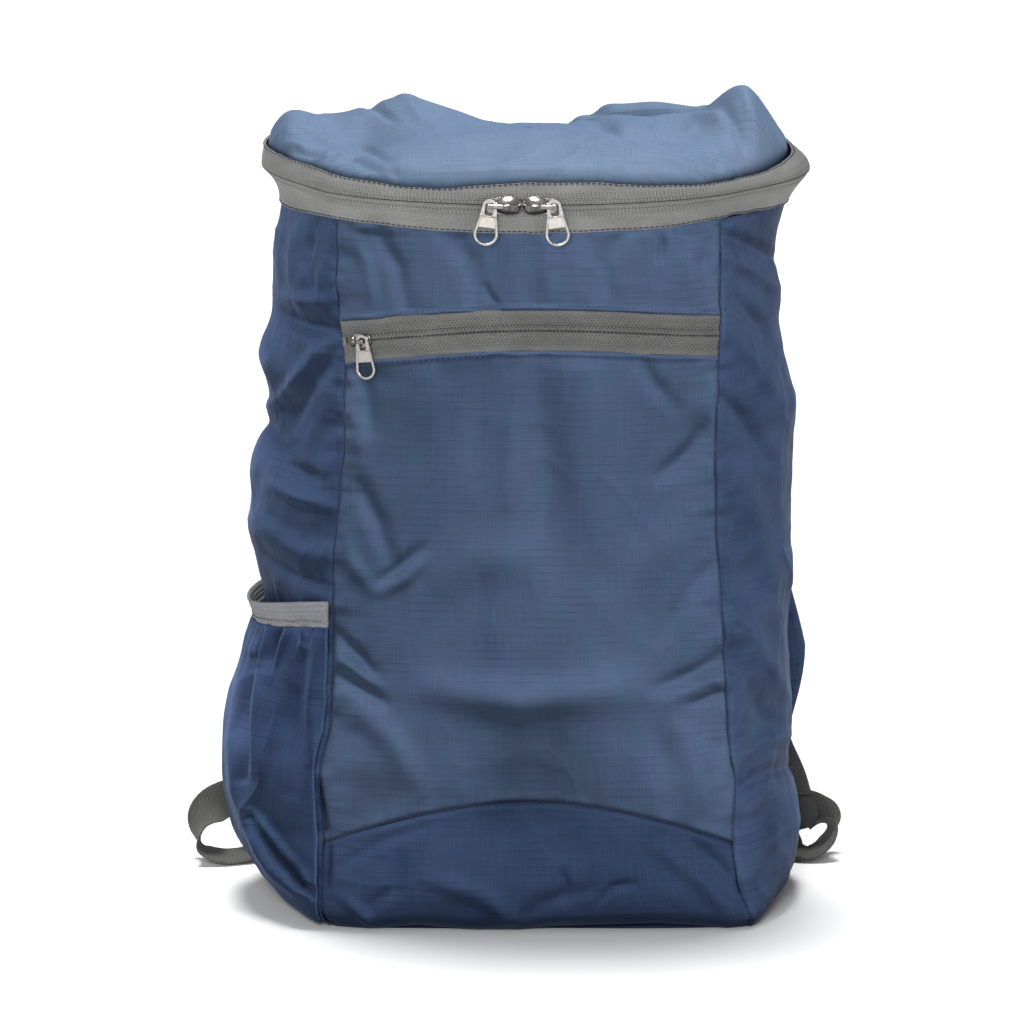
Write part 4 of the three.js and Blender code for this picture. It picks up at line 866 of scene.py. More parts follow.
HALF_POCKET_ZIP = POCKET_ZIP_WIDTH / 2
under = lambda across: BASE_REACH + 0 * across
panel_top = lambda across: to_reach(PANEL_TOP) + 0 * across
cloth_piece(
    "yoke_cloth", 1, (150, 40), lambda a: pocket_zip_line(a) + HALF_POCKET_ZIP - 0.4, panel_top, 100,
    yoke_detail, BLUE, ["front_yoke"],
)
cloth_piece(
    "front_cloth", 1, (170, 200), arch, lambda a: pocket_zip_line(a) - HALF_POCKET_ZIP + 0.4, 102,
    front_detail, BLUE, ["front_panel"],
)
cloth_piece(
    "front_base_cloth", 1, (170, 70), under, arch, 106, base_detail, LOW_BLUE_SHADED, ["front_base"],
)
cloth_piece(
    "left_cloth", 0, (110, 250), under, panel_top, 84, flank_detail(LEFT_CREASES, (33, 31), 61), SIDE_BLUE_SHADED,
    ["side_left"],
)
cloth_piece(
    "right_cloth", 2, (110, 250), under, panel_top, 84, flank_detail(RIGHT_CREASES, (32, 34), 66), SIDE_BLUE_SHADED,
    ["side_right"],
)
cloth_piece(
    "back_cloth", 3, (120, 230), under, lambda a: to_reach(back_edge(-a)), 116, back_detail, SIDE_BLUE_SHADED,
    ["back_panel"],
)

# Base, a sheet inside the roll
ring = skin(np.linspace(0, 4, 241)[:-1], BASE_REACH)
shares = np.linspace(0, 1, 40)[:, None, None]
floor_points = ring[None] * np.array([1, 1, 0]) * shares
floor_points[..., 2] = 0.3 + 0.5 * step(1, 0.9, shares[..., 0]) * (1 + layered(
    floor_points[..., 0] / 30, floor_points[..., 1] / 30, 75, 2))
base_piece = make(
    "base_cloth", floor_points, grid_faces(40, 240, around=True)[:, ::-1], floor_points[..., :2], LOW_BLUE_SHADED
)
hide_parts("base_panel")


# Rim
def stand(side):
    return TAPE_STAND * smooth(RIM, 1, side)


def top_stand(side):
    return TAPE_STAND * smooth(RIM, 2, side) - LID_TUCK


def rim_height(side):
    return RIM_HEIGHT + TAPE_WIDTH * smooth(RIM, 3, side)


def level_out(side):
    along = section(side + 0.008, RIM_HEIGHT) - section(side - 0.008, RIM_HEIGHT)
    return unit(np.stack([along[..., 1], -along[..., 0], 0 * along[..., 0]], -1))


def rim_point(side, distance, z):
    point = section(side, np.minimum(z, RIM_HEIGHT)) + level_out(side) * np.asarray(distance)[..., None]
    point[..., 2] = z
    return point


RIM_SIDES = np.linspace(0.004, 2.996, 560)[None, :]


# Edges of the zip band: side, then how far the top and bottom edges lie above their even lines
BAND_EDGES = np.array([
    [0, 0, 0], [0.7, -0.5, 1], [0.92, -1.5, 3], [1.0, -2.5, 3.4], [1.08, -3.6, 2.8], [1.16, -5.2, 1.8],
    [1.26, -5.2, 0.2], [1.37, -2.6, -0.6], [1.5, -0.4, -0.9], [1.68, -1.2, -0.2], [1.8, -4, 0.8], [1.92, -5.8, 2.8],
    [2.05, -6.4, 4], [2.2, -6.6, 3], [2.4, -3, 1], [2.7, -0.5, 0], [3, 0, 0],
])


def band_wave(side, edge=1):
    """How far an outer edge of the zip band wanders up and down."""
    near = step(0.02, 0.3, side) * step(2.98, 2.7, side)
    even = np.interp(side, BAND_EDGES[:, 0], BAND_EDGES[:, edge])
    return even + near * (0.5 * ripple(side * 7, 0.5, 80 + edge) + 0.3 * ripple(side * 33, 0.5, 84 + edge))


def rim_tape(name, across, rows, node, material):
    v = np.linspace(0, 1, rows)[:, None]
    distance, z = across(RIM_SIDES, v)
    points = rim_point(RIM_SIDES + 0 * v, distance, z)
    up = lengths(points, 0)
    from_zip = up[-1:] - up if z[0, 0] < z[-1, 0] < RIM_HEIGHT + TAPE_WIDTH * 0.75 else up
    uv = np.stack([lengths(points, 1), from_zip], -1)
    return sheet(name, points, uv, material, [node], TAPE * 0.8)


def lower_tape(side, v):
    distance = (SEAM_GAP + 0.2) + (stand(side) - SEAM_GAP - 0.2) * v ** 1.7 + TAPE
    bottom = PANEL_TOP - TAPE_LAP
    ripples = 0.25 * layered(side * 40, v * 1.5, 81, 2) * (1 - v)
    seam = -0.5 * bell((v - 0.04) * TAPE_WIDTH, 0.5) - 0.35 * bell((v - 0.8) * TAPE_WIDTH, 0.45)
    bottom = bottom + band_wave(side, 2)
    return distance + ripples + seam, bottom + (rim_height(side) - ZIP_SLOT / 2 - bottom) * v


def upper_tape(side, v):
    high = top_stand(side) + SEAM_GAP
    distance = high + (stand(side) - high) * np.cos(v * math.pi / 2) + TAPE
    seam = -0.35 * bell((v - 0.2) * UPPER_TAPE_WIDTH, 0.45)
    z = rim_height(side) + ZIP_SLOT / 2 + (UPPER_TAPE_WIDTH - ZIP_SLOT / 2 + band_wave(side)) * v
    return distance + seam, z


rim_tape("lower_tape", lower_tape, 26, "main_zip_lower", TAPE_GREY)
rim_tape("upper_tape", upper_tape, 22, "main_zip_upper", TAPE_GREY)


# Lid
LID_CREASES = [
    (((270, 150), (286, 143), (305, 146)), 3.5, 0.9),
    (((272, 158), (292, 150), (318, 156)), 3.5, -0.8),
    (((296, 128), (325, 142), (350, 148)), 4, -0.9),
    (((318, 158), (334, 150), (352, 154)), 3, 0.9),
    (((340, 162), (352, 158), (378, 170)), 3.5, -0.9),
    (((352, 142), (368, 148), (386, 160)), 3, -1.0),
    (((362, 104), (378, 108), (394, 120)), 4, -1.2),
    (((372, 98), (392, 94), (412, 100)), 4, 1.0),
    (((392, 168), (396, 176), (402, 184)), 2.2, -0.9),
    (((410, 104), (420, 118), (440, 128)), 5, 0.9),
    (((588, 123), (622, 134), (662, 141)), 4, -1.2),
    (((577, 121), (610, 122), (646, 126), (680, 121), (716, 115)), 5, 1.8),
    (((590, 112), (630, 114), (690, 112)), 5, -1.6),
    (((745, 92), (752, 112), (760, 140)), 6, 1.2),
    (((724, 104), (736, 124), (744, 150)), 6, -1.1),
    (((759, 100), (772, 120), (786, 146)), 4, -0.9),
    (((640, 150), (680, 158), (730, 152)), 8, 0.8),
    (((470, 140), (520, 152), (580, 148)), 10, -0.8),
    (((700, 150), (716, 160), (720, 172)), 4, -0.7),
]


def lid_height(x, y):
    rise = 0
    for at_x, at_y, x_reach, y_reach, amount in LID_FORMS:
        across = bell(2 * x / BODY_WIDTH - at_x, x_reach)
        rise = rise + amount * across * bell(2 * y / BODY_DEPTH - at_y, y_reach)
    return RIM_HEIGHT + LID_RISE * (1 + rise)


def lid_edge(side):
    front = rim_point(side, top_stand(side), rim_height(side) + UPPER_TAPE_WIDTH - LID_LAP + band_wave(side))
    over = np.clip(1 - 2 * (side - 3), -1, 1)
    back = rim_point(side, -LID_TUCK + 0 * side, back_edge(over) - LID_LAP)
    return np.where((side > 3)[..., None], back, front)


LID_AROUND = 460
LID_RINGS = 70
CALM_REACH = 14
lid_sides = np.linspace(0, 4, LID_AROUND + 1)[:-1][None, :]
lid_share = (np.linspace(0, 1, LID_RINGS)[:, None]) ** 0.85
edge = lid_edge(lid_sides)
x, y = edge[..., 0] * lid_share, edge[..., 1] * lid_share
up = np.clip(1 - lid_share ** 3, 0, 1) ** 0.45
# Away from its edge the lid doesn't follow the jumps in the edge's height at the back corners
edge_heights = edge[0, :, 2]
wrapped = np.concatenate([edge_heights[-CALM_REACH:], edge_heights, edge_heights[:CALM_REACH]])
calm_foot = np.convolve(wrapped, np.ones(2 * CALM_REACH + 1) / (2 * CALM_REACH + 1), "valid")
foot = edge_heights + (calm_foot - edge_heights) * (1 - lid_share ** 8)
z = foot + (lid_height(x, y) - foot) * up
lid_points = np.stack([x, y, z], -1)
rim_gap = (1 - lid_share) * np.linalg.norm(edge, axis=-1)
crumple = 0.4 * layered(x / 33, y / 26, 91) + 0.9 * ridged(x / 44, y / 30, 92) - 0.5
lid_points[..., 2] += step(2, 14, rim_gap) * (crumple + 1.5 * creases(lid_points, LID_CREASES))
lid_points[..., 2] += puckers(rim_gap + 0.5, lengths(edge, 1), 93, 0.9)
lid_faces = grid_faces(LID_RINGS, LID_AROUND, around=True)[:, ::-1]
lid = make("lid_cloth", lid_points, lid_faces, np.stack([x, y], -1), LID_BLUE_LIT)
lid.modifiers.new("thickness", "SOLIDIFY").thickness = MM
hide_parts("lid")


# Front pocket zip
POCKET_ACROSS = np.linspace(-1, 1, 300)[None, :]


def flat_tape(name, low, high, node):
    v = np.linspace(0, 1, 14)[:, None]
    way = low + (high - low) * v
    reach = pocket_zip_line(POCKET_ACROSS) + way
    side = 1.5 + POCKET_ACROSS / 2 + 0 * reach
    near = np.abs(way)
    lift = -0.3 + 0.5 * step(4.2, 0.8, near) - 0.3 * bell(near - 4.6, 0.5) + 0 * reach
    lift = lift + 0.2 * layered(POCKET_ACROSS * 9, way / 9, 82, 2) - 0.6 * step(0.9, 1, np.abs(POCKET_ACROSS))
    points = skin(side, reach) + outward(side, reach) * lift[..., None]
    uv = np.stack([POCKET_ACROSS * 100 + 0 * reach, near + 0 * reach], -1)
    return sheet(name, points, uv, POCKET_GREY, [node], TAPE * 0.8)


flat_tape("pocket_tape_lower", -HALF_POCKET_ZIP - 0.5, -ZIP_SLOT / 4, "pocket_zip_lower")
flat_tape("pocket_tape_upper", ZIP_SLOT / 4, HALF_POCKET_ZIP + 0.5, "pocket_zip_upper")


# Rows of separate solids along a line: stitches, and the teeth of a zip
def along_line(points, out, spacing, start=0.0):
    """Evenly spaced places on a line: where, the way along it, the way out of it, and how far along they are."""
    way = lengths(points, 0)
    at = np.arange(start, way[-1], spacing)
    read = lambda values, at: np.stack([np.interp(at, way, values[:, k]) for k in range(3)], -1)
    return read(points, at), unit(read(points, at + 0.3) - read(points, at - 0.3)), unit(read(out, at)), at


RING = 6
RING_ANGLES = np.arange(RING) * 2 * math.pi / RING


def beads(name, place, along, out, size, material, nodes=()):
    """Small round-ended solids, each as long, wide and high as its size says."""
    length, width, height = (np.broadcast_to(np.asarray(s, float), len(place)) for s in size)
    second = unit(np.cross(along, out))
    out = np.cross(second, along)
    profile = [(-0.5, 0.0), (-0.38, 0.72), (0.0, 1.0), (0.38, 0.72), (0.5, 0.0)]
    rings = []
    for share, radius in profile:
        ring_points = place[:, None] + along[:, None] * (length * share)[:, None, None]
        for_each = (
            second[:, None] * (np.cos(RING_ANGLES)[None, :, None] * (width * radius / 2)[:, None, None])
            + out[:, None] * (np.sin(RING_ANGLES)[None, :, None] * (height * radius / 2)[:, None, None])
        )
        rings.append(ring_points + for_each)
    points = np.stack(rings, 1)
    one = grid_faces(len(profile), RING, around=True)
    per = len(profile) * RING
    faces = (one[None] + (np.arange(len(place)) * per)[:, None, None]).reshape(-1, 4)
    piece = make(name, points, faces, None, material)
    if nodes:
        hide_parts(*nodes)
    return piece


def stitches(name, points, out, length, gap, material, thick=0.5, jitter=0.12, seed=0):
    place, along, ways, at = along_line(points, out, length + gap, gap)
    second = np.cross(along, ways)
    shake = ripple(at / 3.1, 0.3, seed)[:, None]
    place = place + ways * (0.1 + 0.1 * shake) + second * shake * jitter
    along = unit(along + second * 0.12 * ripple(at / 2.3, 0.7, seed + 1)[:, None])
    return beads(name, place, along, ways, (length, thick, thick), material)


def on_body(side, reach, lift):
    """Points that stand off the body by a lift, and the ways out of it there."""
    out = outward(side, reach)
    return skin(side, reach) + out * np.asarray(lift)[..., None], out


ACROSS = np.linspace(-0.985, 0.985, 500)
points, out = on_body(1.5 + ACROSS / 2, arch(ACROSS) + 1.3, 0.35)
stitches("arch_stitches", points, out, 2.2, 1.0, DARK_THREAD, 0.55, seed=5)
seam_reach = np.linspace(-9, to_reach(PANEL_TOP) - 2, 900)
# Nearly unbroken dark stitches sunk into each front seam: thread, and painted shade along the seam's groove
for name, at_side in (("left", 1.0), ("right", 2.0)):
    points, out = on_body(at_side + 0 * seam_reach, seam_reach, -0.75)
    stitches("seam_stitch_shade_" + name, points, out, 3.2, 0.25, DARK_THREAD, 0.62, seed=20)
for name, way, seed in (("upper", HALF_POCKET_ZIP + 2.0, 6), ("lower", -HALF_POCKET_ZIP - 2.0, 8)):
    points, out = on_body(1.5 + ACROSS / 2, pocket_zip_line(ACROSS) + way, 0.35)
    stitches("pocket_stitches_" + name, points, out, 2.0, 0.9, BLUE_THREAD, 0.5, seed=seed)

rim_line = np.linspace(0.02, 2.98, 1400)
out = level_out(rim_line)
distance, height = lower_tape(rim_line, 0.035 + 0 * rim_line)
points = rim_point(rim_line, distance + 0.15, height)
stitches("rim_stitches_lower", points, out, 2.1, 0.7, DARK_THREAD, 0.62, seed=9)
distance, height = upper_tape(rim_line, 0.96 + 0 * rim_line)
points = rim_point(rim_line, distance + 0.3, height)
stitches("rim_stitches_upper", points, out, 2.1, 0.7, DARK_THREAD, 0.62, seed=10)

# Zip teeth behind the slot, and the rows of chain stitches beside it
MAIN_STOPS = (SLIDER_MIDDLE - SLIDER_SPREAD / 2, SLIDER_MIDDLE + SLIDER_SPREAD / 2)


def front_side(x, z):
    seam = section(1.00001 if x < 0 else 1.99999, z)[0]
    return 1.5 + 0.5 * abs(x) / abs(seam) * math.copysign(1, x)


def bead_row(name, points, out, spacing, size, material, nodes=()):
    place, along, ways, _ = along_line(points, out, spacing)
    return beads(name, place, along, ways, size, material, nodes)


for name, sides in (
    ("left", np.linspace(0.03, front_side(MAIN_STOPS[0] - 1, RIM_HEIGHT), 900)),
    ("right", np.linspace(front_side(MAIN_STOPS[1] + 1, RIM_HEIGHT), 2.97, 900)),
):
    out = level_out(sides)
    points = rim_point(sides, stand(sides) + 0.5, rim_height(sides))
    bead_row("main_teeth_" + name, points, out, 1.45, (1.15, 0.9, 1.6), COIL, ["main_zip_coil_" + name])
    distance, z = lower_tape(sides, 0.83)
    points = rim_point(sides, distance + 0.05, z)
    bead_row("main_chain_" + name, points, out, 1.75, (0.9, 0.55, 0.4), SHADOW_THREAD)

pocket_sides = np.linspace(front_side(POCKET_SLIDER_PLACE + 2, POCKET_ZIP_HEIGHT), 1.985, 900)
pocket_across = 2 * (pocket_sides - 1) - 1
points, out = on_body(pocket_sides, pocket_zip_line(pocket_across), 0.12)
bead_row("pocket_teeth", points, out, 2.12, (1.15, 1.25, 0.9), COIL, ["pocket_zip_coil"])
points, out = on_body(pocket_sides, pocket_zip_line(pocket_across) + 2.7, 0.2)
bead_row("pocket_chain", points, out, 1.9, (0.95, 0.6, 0.35), SHADOW_THREAD)

# Sliders and pulls, in a frame with x along the zip towards the nose, y out of the bag and z across the tapes
PLATE_TOP = 0.35 + 1.3
PULL_LEVEL = PLATE_TOP + 0.5
BRIDGE_LEVEL = PULL_LEVEL + 1.5 + 0.5


def slider_frame(post, neck, out):
    along = unit(neck - post)
    outwards = unit(out - along * np.dot(out, along))
    up = np.cross(along, outwards)
    up = up if up[2] > 0 else -up
    return np.stack([along, outwards, up], 1), post


def in_frame(name, points, faces, frame_of, material, body, tilt=0.0, nodes=(), edges=0.0):
    """A small rigid piece, given in the frame of its slider."""
    turn, post = frame_of
    c, sn = math.cos(math.radians(tilt)), math.sin(math.radians(tilt))
    points = np.asarray(points, float)
    x, y, z = points.T
    points = np.stack([c * x + sn * z, y, c * z - sn * x], -1)
    placed = points @ turn.T + post
    mesh = bpy.data.meshes.new(name)
    mesh.from_pydata((placed * MM).tolist(), [], [list(f) for f in faces])
    if np.linalg.det(turn) < 0:
        mesh.flip_normals()
    mesh.polygons.foreach_set("use_smooth", [True] * len(mesh.polygons))
    mesh.materials.append(material)
    piece = bpy.data.objects.new(name, mesh)
    bpy.context.scene.collection.objects.link(piece)
    if edges:
        bevel = piece.modifiers.new("edges", "BEVEL")
        bevel.width = edges * MM
        bevel.segments = 3
        bevel.limit_method = "ANGLE"
        bevel.angle_limit = math.radians(50)
        bevel.harden_normals = True
    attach(piece, body)
    if nodes:
        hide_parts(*nodes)
    return piece


def ring_solid(outer, inner, low, high):
    """A flat solid between two outlines of equal counts, from one level to another."""
    n = len(outer)
    rings = [(outer, low), (outer, high), (inner, high), (inner, low)]
    points = [(x, level, z) for outline, level in rings for x, z in outline]
    faces = []
    for k in range(4):
        a, b = k * n, ((k + 1) % 4) * n
        faces += [(a + i, b + i, b + (i + 1) % n, a + (i + 1) % n) for i in range(n)]
    return points, faces


def arc(cx, cz, rx, rz, start, end, count):
    angles = np.radians(np.linspace(start, end, count))
    return [(cx + rx * math.cos(a), cz + rz * math.sin(a)) for a in angles]


def line(a, b, count):
    return [(a[0] + (b[0] - a[0]) * k / count, a[1] + (b[1] - a[1]) * k / count) for k in range(count)]


def pull_pieces(name, size, frame_of, body, tilt, node):
    """A pull: an upper loop round the post, a ring that flares from it, and a plate across the ring's top."""
    length, width, ring = size
    rim, slot, plate, half = 1.4, 3.4, 5.6, width / 2
    inside = ring - rim
    bottom = ring - length + half + 1.4
    plate_top, plate_bottom = -slot - inside, -slot - inside - plate
    # Upper loop: its outline down to the plate, round the slot
    outer = arc(0, 0, ring, ring, 0, 180, 16)
    left, right = (-ring - 0.75, plate_top), (ring + 0.75, plate_top)
    outer += line((-ring, 0), left, 8) + line(left, right, 8) + line(right, (ring, 0), 8)
    inner = arc(0, 0, inside, inside, 0, 180, 16)
    inner += line((-inside, 0), (-inside, -slot), 8)[:8] + arc(0, -slot, inside, inside, 180, 360, 8)
    inner += line((inside, -slot), (inside, 0), 8)
    low, high = PULL_LEVEL, PULL_LEVEL + 1.5
    points, faces = ring_solid(outer, inner, low, high)
    in_frame("pull_loop_" + name, points, faces, frame_of, PULL_METAL, body, tilt, [node], 0.32)
    # Lower ring, with the recess of the plate in its upper part
    down = lambda z: min(1, max(0, (plate_top - z) / (plate_top - bottom)))
    flare = lambda z: ring + 0.75 + (half - ring - 0.75) * down(z) ** 0.8
    heights = np.linspace(plate_top + 0.8, bottom, 14)
    outer = [(flare(z), z) for z in heights] + arc(0, bottom, half, half, 0, -180, 30)[1:]
    outer += [(-flare(z), z) for z in heights[::-1][1:]]
    top = plate_top - 0.35
    inner_heights = np.linspace(top, bottom, 14)
    inner = [(flare(z) - rim, z) for z in inner_heights]
    inner += arc(0, bottom, half - rim, half - rim, 0, -180, 30)[1:]
    inner += [(rim - flare(z), z) for z in inner_heights[::-1][1:]]
    points, faces = ring_solid(outer, inner, low, high)
    in_frame("pull_ring_" + name, points, faces, frame_of, PULL_METAL, body, tilt, (), 0.32)
    across = flare(plate_bottom) - rim + 0.25
    above = flare(top) - rim + 0.25
    mid = low + 0.75
    corners = [(-across, plate_bottom), (across, plate_bottom), (above, top + 0.3), (-above, top + 0.3)]
    points = [(x, level, z) for level in (mid - 0.35, mid + 0.35) for x, z in corners]
    faces = [(3, 2, 1, 0), (4, 5, 6, 7), (0, 1, 5, 4), (1, 2, 6, 5), (2, 3, 7, 6), (3, 0, 4, 7)]
    in_frame("pull_plate_" + name, points, faces, frame_of, PLATE_METAL, body, tilt, (), 0.15)
    # A dark piece on the ring as painted shade in the small slit where the ring's ends meet
    x, z = (-half + rim / 2) * 0.55, bottom - (half - rim / 2) * 0.84
    side = math.copysign(1, frame_of[0][0, 0])
    points = [(x * side + dx, y, z + dz) for y in (high - 0.35, high + 0.03)
              for dx, dz in ((-0.12, -0.75), (0.12, -0.75), (0.12, 0.75), (-0.12, 0.75))]
    in_frame("pull_slit_shade_" + name, points, faces, frame_of, SHADOW_THREAD, body, tilt)


def dome_solid(a, rise, b, middle, base, ridge):
    """A low dome with a ridge along it and a lip round its foot."""
    around, rows = 48, 12
    points, faces = [(middle, base + rise, ridge * b)], []
    for k in range(1, rows + 1):
        share = math.sin(k / rows * math.pi / 2)
        for i in range(around):
            angle = 2 * math.pi * i / around
            c, sn = math.cos(angle), math.sin(angle)
            x = middle + a * share * math.copysign(abs(c) ** 0.9, c)
            z = b * share * sn * (1 - 0.16 * (1 - c)) + ridge * b * (1 - share)
            slope = 1 - share ** 2.6
            crest = 1 - 0.3 * abs(share * sn) * (1 - share ** 6)
            points.append((x, base + rise * slope * crest, z))
    for radius, level in ((1.07, 0.12), (1.09, -0.25), (1.0, -0.7)):
        for i in range(around):
            angle = 2 * math.pi * i / around
            c, sn = math.cos(angle), math.sin(angle)
            z = b * radius * sn * (1 - 0.16 * (1 - c))
            points.append((middle + a * radius * math.copysign(abs(c) ** 0.9, c), base + level, z))
    faces = [(0, 1 + (i + 1) % around, 1 + i) for i in range(around)]
    for k in range(rows + 2):
        a0, b0 = 1 + k * around, 1 + (k + 1) * around
        faces += [(a0 + i, a0 + (i + 1) % around, b0 + (i + 1) % around, b0 + i) for i in range(around)]
    last = 1 + (rows + 2) * around
    faces.append([last + i for i in range(around)])
    return points, faces


def box_solid(low, high):
    (x0, y0, z0), (x1, y1, z1) = low, high
    points = [(x, y, z) for y in (y0, y1) for x, z in ((x0, z0), (x1, z0), (x1, z1), (x0, z1))]
    return points, [(0, 1, 2, 3), (7, 6, 5, 4), (0, 4, 5, 1), (1, 5, 6, 2), (2, 6, 7, 3), (3, 7, 4, 0)]


def slider_pieces(name, size, frame_of, node):
    """A slider: its plate, the dome over its nose, and the post and bridge that hold the pull."""
    length, width, dome_length, dome_width, rise, to_dome = size
    middle = to_dome + dome_length / 2 - 0.6 - length / 2
    half, wide = length / 2, width / 2
    outline = arc(middle + half - wide, 0, wide, wide, -90, 90, 20)
    outline += line((middle + half - wide, wide), (middle - half + 1.5, wide * 0.8), 8)
    outline += arc(middle - half + 1.5, 0, 1.5, wide * 0.8, 90, 270, 10)
    outline += line((middle - half + 1.5, -wide * 0.8), (middle + half - wide, -wide), 8)
    core = [(middle + (x - middle) * 0.05, z * 0.05) for x, z in outline]
    points, faces = ring_solid(outline, core, 0.35, PLATE_TOP)
    in_frame("slider_plate_" + name, points, faces, frame_of, METAL, bag, 0, [node], 0.4)
    dome_middle = to_dome - dome_length * 0.1
    points, faces = dome_solid(dome_length * 0.585, rise * 0.8, dome_width / 2, dome_middle, PLATE_TOP, 0.12)
    in_frame("slider_dome_" + name, points, faces, frame_of, METAL, bag)
    points, faces = box_solid((-1.15, PLATE_TOP - 0.1, -1.2), (0.9, BRIDGE_LEVEL + 1.1, 1.2))
    in_frame("slider_post_" + name, points, faces, frame_of, METAL, bag, 0, (), 0.45)
    points, faces = box_solid((0.2, BRIDGE_LEVEL - 0.15, -1.3), (to_dome - 3, BRIDGE_LEVEL + 0.95, 1.0))
    in_frame("slider_bridge_" + name, points, faces, frame_of, METAL, bag, 0, (), 0.45)


def main_zip_point(x):
    side = front_side(x, RIM_HEIGHT)
    return rim_point(side, stand(side) + TAPE, rim_height(side))


MAIN_SLIDER = (17, 9.5, 12.2, 10.6, 4.6, 10)
POCKET_SLIDER = (11.5, 7.6, 4.4, 6.8, 3.2, 5.8)
neck_place = lambda size: size[5] + size[2] / 2 - 0.6 - 2
for name, nose, x in (("left", 1, MAIN_STOPS[0]), ("right", -1, MAIN_STOPS[1])):
    neck = main_zip_point(x + nose * neck_place(MAIN_SLIDER))
    at = slider_frame(main_zip_point(x), neck, np.array([0.0, -1, 0]))
    slider_pieces(name, MAIN_SLIDER, at, "main_slider_" + name)
    pull_pieces(name, (25.5, 12.4, 3.6), at, name + "_pull", 7, "main_pull_" + name)
# A dark solid as painted shade in the gap between the two sliders
gap = main_zip_point(SLIDER_MIDDLE) + np.array([[0, 0.6, 0]])
beads("slider_gap_shade", gap, np.array([[0.0, 0, 1]]), np.array([[0.0, -1, 0]]), (6.4, 3.4, 1.6), SHADOW_THREAD)


def pocket_zip_point(x):
    side = front_side(x, POCKET_ZIP_HEIGHT)
    reach = pocket_zip_line(2 * (side - 1) - 1)
    return skin(side, reach) - outward(side, reach) * SEAM_GAP, side


post, post_side = pocket_zip_point(POCKET_SLIDER_PLACE)
neck, _ = pocket_zip_point(POCKET_SLIDER_PLACE - neck_place(POCKET_SLIDER))
out = outward(post_side, to_reach(POCKET_ZIP_HEIGHT)) * np.array([1, 1, 0])
at = slider_frame(post, neck, out)
slider_pieces("pocket", POCKET_SLIDER, at, "pocket_slider")
pull_pieces("pocket", (24.5, 10.7, 3.3), at, "front_pocket_pull", 0, "pocket_pull")


# Side pocket
POCKET_FROM, POCKET_TO = 0.03, 0.995
POCKET_CREASES = [
    (((290, 622), (284, 640), (277, 662)), 4, 1.3),
    (((283, 624), (276, 645), (268, 668)), 4, -1.5),
    (((297, 622), (298, 628), (301, 640)), 3, -1.2),
    (((311, 623), (310, 630), (307, 644)), 3, -1.2),
    (((304, 622), (304, 636), (300, 655)), 4, 1.1),
    (((262, 624), (258, 645), (250, 668)), 4, -1.1),
    (((270, 624), (266, 644), (260, 662)), 4, 1.1),
    (((250, 660), (245, 700), (243, 778)), 6, -2.2),
    (((262, 668), (258, 712), (256, 770)), 8, 1.6),
    (((300, 660), (292, 720), (290, 790)), 12, -1.2),
    (((318, 640), (312, 700), (314, 760)), 8, 1.2),
    (((251, 812), (263, 822), (280, 845), (292, 860), (304, 880), (309, 893)), 4.5, 2.4),
    (((251, 816), (268, 838), (284, 862), (300, 884), (312, 894)), 4.0, -5.0),
    (((248, 826), (262, 850), (278, 874), (296, 892)), 6, 2.2),
    (((232, 740), (236, 790), (246, 820)), 6, 1.3),
]


def mouth_stand(u):
    return SEAM_GAP + ELASTIC_STAND * np.clip(np.sin(np.pi * u), 0, 1) ** 0.8 * (1.15 + (0.6 - 1.15) * u)


def pocket_stand(u, v):
    low = SEAM_GAP + CLOTH
    bow = np.clip(np.sin(np.pi * u), 0, 1)
    profile = np.clip(np.sin(np.pi * np.minimum(1, 0.012 + 0.988 * v) ** 0.8), 0, 1) ** 0.7
    mouth = (mouth_stand(u) + CLOTH - low) * v ** 2
    calm = np.clip(6 * u, 0, 1) * np.clip(6 * (1 - u), 0, 1) * np.clip(8 * v, 0, 1)
    gather = v ** 5 * (1.0 * ripple(u * 30, v * 2, 95) + 0.8 * ripple(u * 15, v * 1.2, 96)) * bow
    folds = 1.8 * layered(u * 3.2, v * 2.2, 97) + 1.4 * ridged(u * 3.4, v * 2.6, 98)
    crumple = calm * (gather * (1 - v ** 30) + folds * (1 - v ** 3))
    return low + POCKET_BULGE * bow ** 0.75 * profile + mouth + crumple


def mouth_height(u):
    return POCKET_HEIGHT + MOUTH_RISE * np.clip(2 * u - 1, 0, 1) ** 1.2


u = np.linspace(0, 1, 170)[None, :]
v = np.linspace(0, 1, 170)[:, None]
way = BASE_REACH * 0.35 + (to_reach(mouth_height(u) - 0.2) - BASE_REACH * 0.35) * v
side = POCKET_FROM + (POCKET_TO - POCKET_FROM) * u + 0 * v
base, out = skin(side, way), outward(side, way)
lift = pocket_stand(u, v)
in_front = step(50, 10, base[..., 1])
lift = np.maximum(lift + in_front * 1.5 * creases(base + out * lift[..., None], POCKET_CREASES), 1.6)
points = base + out * lift[..., None]
points[..., 2] = np.maximum(points[..., 2], 0.3)
uv = np.stack([u * 170 + 0 * v, way], -1)
pocket = sheet("pocket_cloth", points, uv, POCKET_BLUE_SHADED, ["side_pocket"], 1.2)
paint_fold_shade(pocket, points, POCKET_PAINTED_SHADE, in_front)

